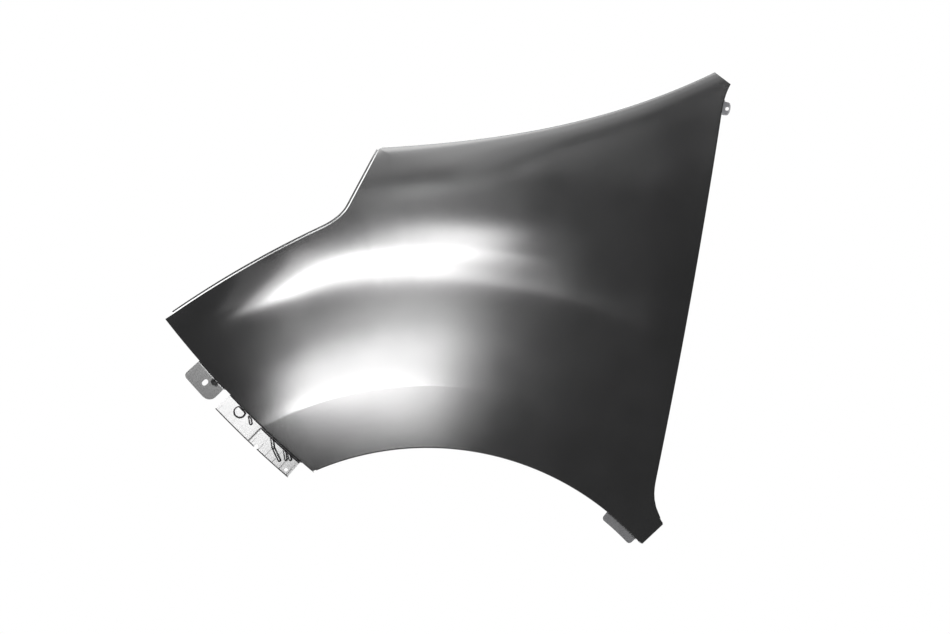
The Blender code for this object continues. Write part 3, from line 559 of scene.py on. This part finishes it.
def bend(points, heading, goal, radius):
    """Rows of a fold that turns the sheet from its heading to a goal direction."""
    turn = np.arccos(np.clip(dot(heading, goal), -1, 1))
    side = square_to(goal, heading)
    rows = []
    for k in range(1, BEND_CUTS + 1):
        angle = turn * k / BEND_CUTS
        rows.append(points + radius * (np.sin(angle) * heading + (1 - np.cos(angle)) * side))
    return rows


def run(points, heading, length, cuts=1):
    """Rows of a flat stretch of the sheet."""
    return [points + heading * length * k / cuts for k in range(1, cuts + 1)]


class Sheet:
    """Points and faces of an open sheet, added row by row."""

    def __init__(self):
        self.points = []
        self.faces = []

    def add_row(self, row):
        first = len(self.points)
        self.points.extend(np.array(point) for point in row)
        return list(range(first, len(self.points)))

    def join(self, below, above):
        for k in range(len(below) - 1):
            self.faces.append((below[k], below[k + 1], above[k + 1], above[k]))

    def add_rows(self, rows, start=None):
        """Adds rows one after the other, from a row of points that is already there."""
        numbers = [start] if start else []
        for row in rows:
            numbers.append(self.add_row(row))
            if len(numbers) > 1:
                self.join(numbers[-2], numbers[-1])
        return numbers


def edge_frames(flat, centre):
    """Points on an edge of the skin, with the directions along it and out of it."""
    points = skin(flat)
    along = unit(np.gradient(points, axis=0))
    out = square_to(np.cross(along, skin_normal(flat)), along)
    away = dot(out, points - centre).sum()
    return points, along, out * np.sign(away)


def inset_edge(flat, centre, radius):
    """Draws an edge in, so that its fold ends on the outline, and returns its frames there."""
    points, along, out = edge_frames(flat, centre)
    inboard = square_to(np.broadcast_to(INBOARD, points.shape), along)
    turn = np.arccos(np.clip(dot(out, inboard), -1, 1))
    moved = flat - radius * np.tan(turn / 2) * out[:, [0, 2]]
    return moved, skin(moved), along, out, inboard


def mesh_object(name, sheet, collection):
    """Makes an open sheet into an object whose faces look outboard or up."""
    mesh = bpy.data.meshes.new(name)
    mesh.from_pydata([tuple(point) for point in sheet.points], [], sheet.faces)
    work = bmesh.new()
    work.from_mesh(mesh)
    bmesh.ops.recalc_face_normals(work, faces=work.faces)
    facing = sum(face.normal.y * face.calc_area() for face in work.faces)
    if facing > 0:
        bmesh.ops.reverse_faces(work, faces=work.faces)
    work.to_mesh(mesh)
    work.free()
    made = bpy.data.objects.new(name, mesh)
    collection.objects.link(made)
    return made


def thicken(made, thickness):
    shell = made.modifiers.new("Sheet thickness", "SOLIDIFY")
    shell.thickness = thickness
    shell.offset = -1
    shell.use_even_offset = True


def frame_matrix(centre, axis, along):
    """A placement whose Z is the axis of a hole and whose X runs along its slot."""
    z = np.array(axis) / np.linalg.norm(axis)
    x = square_to(np.array(along), z)
    y = np.cross(z, x)
    rows = [[x[k], y[k], z[k], centre[k]] for k in range(3)]
    rows.append([0, 0, 0, 1])
    return rows


def add_slot(work, width, length, placement):
    """Adds a round-ended cutter to a mesh: a cylinder pulled apart along its slot."""
    made = bmesh.ops.create_cone(
        work,
        cap_ends=True,
        segments=HOLE_SIDES,
        radius1=width / 2,
        radius2=width / 2,
        depth=2 * OVERRUN,
    )
    matrix = np.array(placement)
    for vertex in made["verts"]:
        local = np.array([*vertex.co, 1])
        local[0] += np.sign(round(local[0] / width, 3)) * (length - width) / 2
        vertex.co = (matrix @ local)[:3]


def cut_holes(made, slots, cutters):
    """Cuts slots, each a width, a length and a placement, through a part."""
    mesh = bpy.data.meshes.new(made.name + "_holes")
    work = bmesh.new()
    for width, length, placement in slots:
        add_slot(work, width, length, placement)
    work.to_mesh(mesh)
    work.free()
    cutter = bpy.data.objects.new(made.name + "_holes", mesh)
    cutters.objects.link(cutter)
    holes = made.modifiers.new("Holes", "BOOLEAN")
    holes.operation = "DIFFERENCE"
    holes.solver = "EXACT"
    holes.object = cutter


def flatten(rows, columns, normal):
    """Presses a flat pad into the rows of a shelf, and returns its centre and normal."""
    picked = np.concatenate([row[columns] for row in rows])
    centre = picked.mean(axis=0)
    for row in rows:
        row[columns] -= dot(row[columns] - centre, normal) * normal
    return centre, normal


def hood_flange(sheet, edge, numbers):
    """The wall and the bolted shelf along the hood, with a flat pad round each bolt hole."""
    points, along, out = edge
    down = square_to(np.broadcast_to(-UP, points.shape), along)
    inboard = np.cross(along, down)
    inboard *= np.sign(dot(inboard, INBOARD))
    rows = bend(points, out, down, HOOD_FOLD_RADIUS)
    rows += run(rows[-1], down, HOOD_WALL)
    rows += bend(rows[-1], down, inboard, FOLD_RADIUS)
    rows += run(rows[-1], inboard, HOOD_SHELF, SHELF_CUTS)
    shelf = rows[-SHELF_CUTS - 1:]
    pads = []
    for share in HOOD_PAD_SHARES:
        column = round(share * (HOOD_COLUMNS - 2))
        columns = slice(column - PAD_COLUMNS, column + PAD_COLUMNS + 1)
        centre, normal = flatten(shelf, columns, unit(down[columns].mean(axis=0)))
        pads.append((centre, normal, unit(along[columns].mean(axis=0))))
    sheet.add_rows(rows, numbers)
    return pads


def panel_grid():
    """The flat grid of the skin, row by row from the arch to the hood line."""
    shares = column_shares()
    rows = [ring_row(radius, shares) for radius in ring_radii()]
    return np.array(rows + body_rows(shares))


def draw_in_corners(grid, moved, corner_row):
    """Moves each corner between two folds to where its drawn-in edges meet."""
    corners = {
        (0, 0): ((0, 1), (1, 0)),
        (0, -1): ((0, -2), (1, -1)),
        (corner_row, -1): ((corner_row - 1, -1), (corner_row + 1, -1)),
        (-1, LAMP_COLUMNS): ((-1, LAMP_COLUMNS - 1), (-1, LAMP_COLUMNS + 1)),
    }
    for corner, sides in corners.items():
        shifts = np.array([moved[side] for side in sides])
        grid[corner] += np.linalg.solve(shifts, (shifts**2).sum(axis=1))
    # The foot corner's row runs almost along the door edge, so its next point is set between its neighbours
    grid[corner_row, -2] = (grid[corner_row - 1, -2] + grid[corner_row + 1, -2]) / 2


def fender_panel(collection, cutters, material):
    """The pressed skin with a fold on every edge, and the holes in the folds."""
    grid = panel_grid()
    row_count, column_count = grid.shape[:2]
    centre = skin(grid.mean(axis=(0, 1)))
    corner_row = LIP_ROWS + 1
    ear_row = row_count - 1 - TOP_ROWS
    edges = {
        "arch": (0, slice(1, column_count - 1), FOLD_RADIUS),
        "lamp": (row_count - 1, slice(1, LAMP_COLUMNS), LAMP_FOLD_RADIUS),
        "hood": (row_count - 1, slice(LAMP_COLUMNS + 1, column_count), HOOD_FOLD_RADIUS),
        "front": (slice(1, row_count), 0, FOLD_RADIUS),
        "foot": (slice(1, corner_row), column_count - 1, FOLD_RADIUS),
        "door": (slice(corner_row + 1, ear_row + 1), column_count - 1, FOLD_RADIUS),
    }
    outline = grid.copy()
    frames = {}
    for name, (rows, columns, radius) in edges.items():
        moved, points, along, out, goals = inset_edge(grid[rows, columns], centre, radius)
        grid[rows, columns] = moved
        frames[name] = (points, along, out, goals)
    draw_in_corners(grid, grid - outline, corner_row)
    for k in range(1, TOP_ROWS):
        grid[ear_row + k] = grid[ear_row] + k / TOP_ROWS * (grid[-1] - grid[ear_row])
    sheet = Sheet()
    numbers = np.array(sheet.add_rows(skin(grid)))
    slots = []
    folds = {}
    lengths = {"arch": ARCH_FLANGE, "front": FRONT_FLANGE, "foot": FOOT_FLANGE, "door": DOOR_FLANGE}
    for name, length in lengths.items():
        rows, columns = edges[name][:2]
        points, along, out, goals = frames[name]
        fold = bend(points, out, goals, FOLD_RADIUS)
        fold += run(fold[-1], goals, length - FOLD_RADIUS)
        sheet.add_rows(fold, list(numbers[rows, columns]))
        folds[name] = fold
    rows, columns = edges["lamp"][:2]
    points, along, out, goals = frames["lamp"]
    slant = math.radians(LAMP_STEP_DEG)
    down = math.cos(slant) * out + math.sin(slant) * goals
    lip = bend(points, out, down, LAMP_FOLD_RADIUS)
    lip += run(lip[-1], down, LAMP_STEP)
    lip += bend(lip[-1], down, out, LAMP_FOLD_RADIUS)
    lip += run(lip[-1], out, LAMP_LIP)
    sheet.add_rows(lip, list(numbers[rows, columns]))
    rows, columns = edges["hood"][:2]
    pads = hood_flange(sheet, frames["hood"][:3], list(numbers[rows, columns]))
    for k, (middle, normal, along) in enumerate(pads):
        length = HOOD_BOLT_HOLE if k == 0 else HOOD_SLOT_LENGTH
        slots.append((HOOD_BOLT_HOLE, length, frame_matrix(middle, normal, along)))
    slots += fold_holes(folds["arch"], frames["arch"], CLIP_HOLE, CLIP_HOLE_SHARES)
    slots += fold_holes(folds["foot"], frames["foot"], FOOT_HOLE, [0.5])
    panel = mesh_object("fender_panel", sheet, collection)
    panel.data.materials.append(material)
    thicken(panel, SHEET)
    cut_holes(panel, slots, cutters)
    return centre


def between(rows, place):
    """The value at a place, counted in stations, along a row of points or directions."""
    low = min(int(place), len(rows) - 2)
    return rows[low] + (place - low) * (rows[low + 1] - rows[low])


def fold_holes(fold, frame, width, shares):
    """Round holes in the middle of a fold's flat run."""
    middles = (fold[-1] + fold[-2]) / 2
    slots = []
    for share in shares:
        place = share * (len(middles) - 1)
        along = between(frame[1], place)
        axis = np.cross(along, between(frame[3], place))
        slots.append((width, width, frame_matrix(between(middles, place), axis, along)))
    return slots


def bead_height(along, across, start, end):
    """Height of one pressed bead over points of a plate."""
    run_along = end[0] - start[0]
    run_across = end[1] - start[1]
    length = run_along**2 + run_across**2
    t = ((along - start[0]) * run_along + (across - start[1]) * run_across) / length
    t = np.clip(t, 0, 1)
    away = np.hypot(along - start[0] - t * run_along, across - start[1] - t * run_across)
    return BEAD_HEIGHT * smooth_step((BEAD_HALF_WIDTH - away) / BEAD_SHOULDER)


def bumper_relief(along, across):
    """Height of the bumper bracket's pressed boss, step and beads over its plate."""
    away = np.hypot(along - BOSS_AT, across - BOSS_OUT)
    height = BOSS_HEIGHT * smooth_step((BOSS_RADIUS - away) / BOSS_SHOULDER)
    height += STEP_HEIGHT * smooth_step((along - STEP_AT) / STEP_WIDTH + 0.5)
    for start, end in zip(BEAD_START_SHARES, BEAD_END_SHARES):
        begin = (start[0] * BUMPER_LENGTH, start[1] * BUMPER_WIDTH)
        finish = (end[0] * BUMPER_LENGTH, end[1] * BUMPER_WIDTH)
        height += bead_height(along, across, begin, finish)
    return height


def tab_relief(along, across):
    away = np.hypot(along - TAB_BOSS_AT, across - TAB_BOSS_OUT)
    return TAB_BOSS_HEIGHT * smooth_step(1 - away / TAB_BOSS_RADIUS)


def front_places(start, length, count):
    """Places along the front edge, measured from the arch."""
    path = front_edge()
    total = path_length(path)
    distances = np.linspace(start, start + length, count)
    return share_points(path, distances / total), distances - start


def end_rounding(distances, length, first, last):
    """How much narrower a plate is near its two ends, whose corners have these radii."""
    narrower = np.zeros(len(distances))
    for inside, radius in ((distances, first), (length - distances, last)):
        left = radius - np.minimum(inside, radius)
        narrower += radius - np.sqrt(np.maximum(radius**2 - left**2, 0))
    return narrower[:, None]


def rounded_places(length, first, last, middle):
    """Distances along a plate, close together where its corners are round."""
    corner = 1 - np.cos(np.linspace(0, math.pi / 2, CORNER_STATIONS))
    straight = np.linspace(first, length - last, middle)[1:-1]
    return np.concatenate([first * corner, straight, length - last * corner[::-1]])


def angle_bracket(edge, leg, lean_deg, widths, cuts, relief=None, lip=0):
    """A leg against a fold of the panel, and a plate that stands out from it, with an optional lip."""
    points, along, out = edge
    inboard = square_to(np.broadcast_to(INBOARD, points.shape), along)
    forward = np.cross(along, inboard)
    forward *= np.sign(dot(forward, out))
    heading = inboard * np.sign(leg[1] - leg[0])
    lean = math.radians(lean_deg)
    plate = math.cos(lean) * forward + math.sin(lean) * inboard
    face = np.cross(along, plate)
    face *= -np.sign(dot(face, INBOARD))
    start = points + WELD_GAP * forward + leg[0] * inboard
    rows = [start, *run(start, heading, abs(leg[1] - leg[0]))]
    rows += bend(rows[-1], heading, plate, BRACKET_FOLD_RADIUS)
    root = rows[-1]
    raised = 0
    for k in range(1, cuts + 1):
        across = widths * k / cuts
        if relief is not None:
            raised = relief(across) * face
        rows.append(root + plate * across + raised)
    if lip:
        rows += bend(rows[-1], plate, inboard, BRACKET_FOLD_RADIUS)
        rows += run(rows[-1], inboard, lip)
    sheet = Sheet()
    sheet.add_rows(rows)
    return sheet, root, plate, face, along


def finish_bracket(name, sheet, collection, material, side=-1):
    bracket = mesh_object(name, sheet, collection)
    bracket.data.materials.append(material)
    thicken(bracket, BRACKET_SHEET)
    bracket.modifiers[-1].offset = side
    return bracket


def plate_hole(shape, place, across, width, length):
    """A hole in a bracket's plate, with its slot across the plate."""
    root, plate, face = (between(rows, place) for rows in shape[1:4])
    return width, length, frame_matrix(root + across * plate, face, plate)


def bumper_bracket(collection, cutters, centre, material):
    flat, distances = front_places(BUMPER_START, BUMPER_LENGTH, BUMPER_STATIONS)
    distances = distances[::-1]

    def relief(across):
        fading_in = smooth_step(across / BEAD_HALF_WIDTH)
        return fading_in * bumper_relief(distances[:, None], across)

    widths = np.full((len(flat), 1), BUMPER_WIDTH - 2 * BRACKET_FOLD_RADIUS)
    leg = (FRONT_FLANGE - BRACKET_SHEET, FRONT_FLANGE - BRACKET_SHEET - WELD_LEG)
    edge = edge_frames(flat, centre)
    shape = angle_bracket(edge, leg, BUMPER_LEAN_DEG, widths, BUMPER_CUTS, relief, BUMPER_LIP)
    bracket = finish_bracket("bumper_bracket", shape[0], collection, material)
    hole = (1 - BUMPER_HOLE_AT / BUMPER_LENGTH) * (len(flat) - 1)
    notch = (1 - BUMPER_NOTCH_AT / BUMPER_LENGTH) * (len(flat) - 1)
    reach = BUMPER_WIDTH - BRACKET_FOLD_RADIUS
    slots = [
        plate_hole(shape, hole, BUMPER_HOLE_OUT, BUMPER_HOLE, BUMPER_HOLE),
        plate_hole(shape, notch, reach, 2 * BUMPER_NOTCH_RADIUS, 3 * BUMPER_NOTCH_RADIUS),
    ]
    cut_holes(bracket, slots, cutters)


def headlamp_tab(collection, cutters, centre, material):
    path = front_edge()
    start = BUMPER_START + BUMPER_LENGTH + TAB_CLEARANCE
    distances = rounded_places(TAB_LENGTH, TAB_LOWER_RADIUS, TAB_CORNER_RADIUS, TAB_STATIONS)
    flat = share_points(path, (start + distances) / path_length(path))
    widths = TAB_WIDTH - BRACKET_FOLD_RADIUS
    widths = widths - end_rounding(distances, TAB_LENGTH, TAB_LOWER_RADIUS, TAB_CORNER_RADIUS)
    leg = (FRONT_FLANGE - BRACKET_SHEET, FRONT_FLANGE - BRACKET_SHEET - WELD_LEG)

    def relief(across):
        return tab_relief(distances[:, None], across)

    edge = edge_frames(flat, centre)
    shape = angle_bracket(edge, leg, TAB_LEAN_DEG, widths, TAB_CUTS, relief)
    bracket = finish_bracket("headlamp_tab", shape[0], collection, material)
    place = np.interp(TAB_HOLE_AT, distances, np.arange(len(distances)))
    slots = [plate_hole(shape, place, TAB_HOLE_OUT, TAB_HOLE_WIDTH, TAB_HOLE_LENGTH)]
    cut_holes(bracket, slots, cutters)


def pillar_tab(collection, cutters, centre, material):
    """The half-round tab behind the rear top corner, on the door edge's fold."""
    path = rear_edge()
    half = PILLAR_TAB_WIDTH / 2
    angles = np.linspace(-math.pi / 2, math.pi / 2, TAB_STATIONS)
    heights = EAR[1] - PILLAR_TAB_DROP + half * np.sin(angles)
    rising = path[path[:, 1] > FOOT_WAIST[1]]
    rising = rising[: int(np.argmax(rising[:, 0])) + 1]
    flat = np.stack([np.interp(heights, rising[:, 1], rising[:, 0]), heights], -1)
    widths = (PILLAR_TAB_LENGTH + PILLAR_TAB_ROUND * np.cos(angles))[:, None]
    leg = (DOOR_FLANGE - BRACKET_SHEET - WELD_LEG, DOOR_FLANGE - BRACKET_SHEET)
    edge = edge_frames(flat, centre)
    shape = angle_bracket(edge, leg, PILLAR_TAB_TURN_DEG, widths, PLATE_CUTS)
    bracket = finish_bracket("pillar_tab", shape[0], collection, material, 1)
    middle = (len(flat) - 1) / 2
    slots = [plate_hole(shape, middle, PILLAR_TAB_LENGTH, PILLAR_TAB_HOLE, PILLAR_TAB_HOLE)]
    cut_holes(bracket, slots, cutters)


def sill_bracket(collection, centre, material):
    """The strip below the arch edge at the foot, which the end of the sill clips over."""
    distances = rounded_places(SILL_LENGTH, SILL_CORNER_RADIUS, SILL_CORNER_RADIUS, TAB_STATIONS)
    angles = math.radians(ARCH_REAR_DEG) + (SILL_START + distances) / ARCH_RADIUS
    flat = ARCH_RADIUS * np.stack([np.cos(angles), np.sin(angles)], -1)
    widths = SILL_WIDTH - BRACKET_FOLD_RADIUS
    widths = widths - end_rounding(distances, SILL_LENGTH, SILL_CORNER_RADIUS, SILL_CORNER_RADIUS)
    leg = (ARCH_FLANGE - BRACKET_SHEET, ARCH_FLANGE - BRACKET_SHEET - WELD_LEG)
    edge = edge_frames(flat, centre)
    shape = angle_bracket(edge, leg, 0, widths, PLATE_CUTS)
    finish_bracket("sill_bracket", shape[0], collection, material)


def make_node(tree, kind, **inputs):
    """Adds a shader node and sets its inputs by name."""
    node = tree.nodes.new(kind)
    for name, value in inputs.items():
        node.inputs[name.replace("_", " ")].default_value = value
    return node


def noise(tree, place, size, detail):
    """A noise pattern whose grains are about this large."""
    node = make_node(tree, "ShaderNodeTexNoise", Scale=1 / size, Detail=detail)
    tree.links.new(place, node.inputs["Vector"])
    return node.outputs["Fac"]


def mapped(tree, value, low, high):
    """Spreads the middle of a noise over a range."""
    node = make_node(
        tree,
        "ShaderNodeMapRange",
        From_Min=NOISE_LOW,
        From_Max=NOISE_HIGH,
        To_Min=low,
        To_Max=high,
    )
    tree.links.new(value, node.inputs["Value"])
    return node.outputs["Result"]


def primer_coat(name, roughness, grain_strength, painted_light=1):
    """Black electro-coat primer: satin, a little uneven in depth of colour and gloss, with a fine grain.

    A painted-light factor above 1 makes a paler coat: painted light, standing in for light that falls on a
    bracket.
    """
    material = bpy.data.materials.new(name)
    material.use_nodes = True
    tree = material.node_tree
    shader = tree.nodes["Principled BSDF"]
    shader.inputs["IOR"].default_value = PRIMER_IOR
    place = make_node(tree, "ShaderNodeTexCoord").outputs["Object"]
    cloud = noise(tree, place, PRIMER_CLOUD, CLOUD_DETAIL)
    grain = noise(tree, place, PRIMER_GRAIN, GRAIN_DETAIL)
    peel = noise(tree, place, PRIMER_PEEL, GRAIN_DETAIL)
    colour = make_node(tree, "ShaderNodeValToRGB")
    for stop, tone in zip(colour.color_ramp.elements, (PRIMER_DARK, PRIMER_LIGHT)):
        # Painted light when the factor is above 1: the base colour is raised so that the coat looks lit.
        stop.color = [painted_light * part for part in tone[:3]] + [1]
    tree.links.new(mapped(tree, cloud, 0, 1), colour.inputs["Fac"])
    tree.links.new(colour.outputs["Color"], shader.inputs["Base Color"])
    gloss = make_node(tree, "ShaderNodeMath")
    tree.links.new(mapped(tree, cloud, roughness - PRIMER_CLOUDING, roughness), gloss.inputs[0])
    tree.links.new(mapped(tree, grain, 0, PRIMER_GRAININESS), gloss.inputs[1])
    tree.links.new(gloss.outputs["Value"], shader.inputs["Roughness"])
    fine = make_node(tree, "ShaderNodeBump", Strength=grain_strength, Distance=PRIMER_GRAIN_DEPTH)
    coarse = make_node(tree, "ShaderNodeBump", Strength=grain_strength, Distance=PRIMER_PEEL_DEPTH)
    tree.links.new(grain, fine.inputs["Height"])
    tree.links.new(peel, coarse.inputs["Height"])
    tree.links.new(fine.outputs["Normal"], coarse.inputs["Normal"])
    tree.links.new(coarse.outputs["Normal"], shader.inputs["Normal"])
    return material


def finish_piece(made, name, node):
    """Applies a piece's modifiers, smooths it, and puts it in the CAD node's place."""
    graph = bpy.context.evaluated_depsgraph_get()
    mesh = bpy.data.meshes.new_from_object(made.evaluated_get(graph))
    mesh.transform(Matrix.Translation(WHEEL_CENTRE))
    mesh.shade_smooth()
    mesh.set_sharp_from_angle(angle=math.radians(SHARP_DEG))
    piece = bpy.data.objects.new(name, mesh)
    bpy.context.scene.collection.objects.link(piece)
    weighted = piece.modifiers.new("Face weighted normals", "WEIGHTED_NORMAL")
    weighted.keep_sharp = True
    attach(piece, "root")
    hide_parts(node)


def emission(tree, strength):
    return make_node(tree, "ShaderNodeEmission", Strength=strength).outputs["Emission"]


def either(tree, first, second):
    """The larger of two values."""
    node = make_node(tree, "ShaderNodeMath")
    node.operation = "MAXIMUM"
    tree.links.new(first, node.inputs[0])
    tree.links.new(second, node.inputs[1])
    return node.outputs["Value"]


def mirror_rays(tree):
    """1 for what metal and glass show."""
    rays = make_node(tree, "ShaderNodeLightPath").outputs
    return either(tree, rays["Is Glossy Ray"], rays["Is Transmission Ray"])


def direct_rays(tree):
    """1 for what the camera sees, by itself or in metal and glass."""
    rays = make_node(tree, "ShaderNodeLightPath").outputs
    return either(tree, rays["Is Camera Ray"], mirror_rays(tree))


def pale_floor():
    """A pale floor that fades into the white background and keeps a soft shadow."""
    bpy.ops.mesh.primitive_circle_add(vertices=FLOOR_SIDES, radius=FLOOR_RADIUS, fill_type="NGON")
    floor = bpy.context.object
    floor.name = "floor"
    floor.location = (0, 0, FLOOR_HEIGHT)
    material = bpy.data.materials.new("pale_floor")
    material.use_nodes = True
    tree = material.node_tree
    tree.nodes.clear()
    matt = make_node(tree, "ShaderNodeBsdfDiffuse", Color=FLOOR_COLOUR).outputs["BSDF"]
    seen = make_node(tree, "ShaderNodeMath")
    seen.operation = "MULTIPLY"
    seen.inputs[1].default_value = FLOOR_WHITE_SHARE
    tree.links.new(direct_rays(tree), seen.inputs[0])
    mix = make_node(tree, "ShaderNodeMixShader")
    tree.links.new(seen.outputs["Value"], mix.inputs["Fac"])
    tree.links.new(matt, mix.inputs[1])
    tree.links.new(emission(tree, 1), mix.inputs[2])
    out = make_node(tree, "ShaderNodeOutputMaterial")
    tree.links.new(mix.outputs["Shader"], out.inputs["Surface"])
    floor.data.materials.append(material)


def soft_box(name, azimuth_deg, height_deg, roll_deg, distance, width, height, radiance):
    """A rectangular lamp that faces the middle of the panel from this bearing."""
    azimuth = math.radians(azimuth_deg)
    rise = math.radians(height_deg)
    level = math.cos(rise)
    heading = Vector((math.sin(azimuth) * level, -math.cos(azimuth) * level, math.sin(rise)))
    lamp = bpy.data.lights.new(name, "AREA")
    lamp.shape = "RECTANGLE"
    lamp.size = width
    lamp.size_y = height
    lamp.energy = radiance * math.pi * width * height
    placed = bpy.data.objects.new(name, lamp)
    placed.location = Vector(WHEEL_CENTRE) + Vector((0, 0, LAMP_AIM_HEIGHT)) + distance * heading
    roll = Quaternion((0, 0, 1), math.radians(roll_deg))
    placed.rotation_euler = (heading.to_track_quat("Z", "Y") @ roll).to_euler()
    bpy.context.scene.collection.objects.link(placed)


def white_studio():
    """White to the camera. To reflections the backdrop behind the panel is white and the room is dimmer."""
    world = bpy.data.worlds.new("studio")
    bpy.context.scene.world = world
    world.use_nodes = True
    tree = world.node_tree
    tree.nodes.clear()
    rays = make_node(tree, "ShaderNodeLightPath")
    place = make_node(tree, "ShaderNodeTexCoord").outputs["Generated"]
    split = make_node(tree, "ShaderNodeSeparateXYZ")
    tree.links.new(place, split.inputs["Vector"])
    backdrop = make_node(
        tree,
        "ShaderNodeMapRange",
        From_Min=BACKDROP_EDGE,
        From_Max=BACKDROP_WHITE,
        To_Min=ROOM_STRENGTH,
        To_Max=1,
    )
    tree.links.new(split.outputs["Y"], backdrop.inputs["Value"])
    reflected = make_node(tree, "ShaderNodeMix", A=ROOM_STRENGTH)
    tree.links.new(mirror_rays(tree), reflected.inputs["Factor"])
    tree.links.new(backdrop.outputs["Result"], reflected.inputs["B"])
    seen = make_node(tree, "ShaderNodeMix", B=1)
    tree.links.new(rays.outputs["Is Camera Ray"], seen.inputs["Factor"])
    tree.links.new(reflected.outputs["Result"], seen.inputs["A"])
    background = make_node(tree, "ShaderNodeBackground")
    tree.links.new(seen.outputs["Result"], background.inputs["Strength"])
    background.inputs["Color"].default_value = (1, 1, 1, 1)
    out = make_node(tree, "ShaderNodeOutputWorld")
    tree.links.new(background.outputs["Background"], out.inputs["Surface"])


def side_camera():
    """A long lens square to the side of the car, with the photograph's frame."""
    camera = bpy.data.cameras.new("camera")
    camera.sensor_width = SENSOR_MM
    camera.lens = SENSOR_MM * CAMERA_DISTANCE / (PHOTO_WIDTH * PIXEL)
    camera.clip_end = CAMERA_REACH
    placed = bpy.data.objects.new("camera", camera)
    across = (PHOTO_WIDTH / 2 - CENTRE_PIXEL_X) * PIXEL
    up = (CENTRE_PIXEL_Y - PHOTO_HEIGHT / 2) * PIXEL
    offset = Vector((across, CAMERA_PLANE - CAMERA_DISTANCE, up))
    placed.location = Vector(WHEEL_CENTRE) + offset
    placed.rotation_euler = (math.pi / 2, 0, 0)
    bpy.context.scene.collection.objects.link(placed)
    bpy.context.scene.camera = placed


def main():
    fender = bpy.data.collections.new("fender_shapes")
    cutters = bpy.data.collections.new("fender_cutters")
    for collection in (fender, cutters):
        bpy.context.scene.collection.children.link(collection)
    panel_coat = primer_coat("panel_primer", PANEL_ROUGHNESS, PANEL_GRAIN_STRENGTH)
    front_coat = primer_coat("bracket_primer", BRACKET_ROUGHNESS, BRACKET_GRAIN_STRENGTH)
    # Painted light: paler copies of the primer make the pillar tab and the sill bracket look lit.
    pillar_painted_light_coat = primer_coat("pillar_primer_painted_light", BRACKET_ROUGHNESS, BRACKET_GRAIN_STRENGTH, PILLAR_PAINTED_LIGHT)
    sill_painted_light_coat = primer_coat("sill_primer_painted_light", BRACKET_ROUGHNESS, BRACKET_GRAIN_STRENGTH, SILL_PAINTED_LIGHT)
    centre = fender_panel(fender, cutters, panel_coat)
    bumper_bracket(fender, cutters, centre, front_coat)
    headlamp_tab(fender, cutters, centre, front_coat)
    pillar_tab(fender, cutters, centre, pillar_painted_light_coat)
    sill_bracket(fender, centre, sill_painted_light_coat)
    bpy.context.view_layer.update()
    shapes = list(fender.objects)
    for made in shapes:
        node = made.name.split(".")[0]
        finish_piece(made, node + "_fine", node)
    for made in shapes + list(cutters.objects):
        bpy.data.objects.remove(made)
    pale_floor()
    for lamp in SOFT_BOXES:
        soft_box(*lamp)
    white_studio()
    side_camera()
    bpy.context.scene.view_settings.view_transform = "Standard"


main()
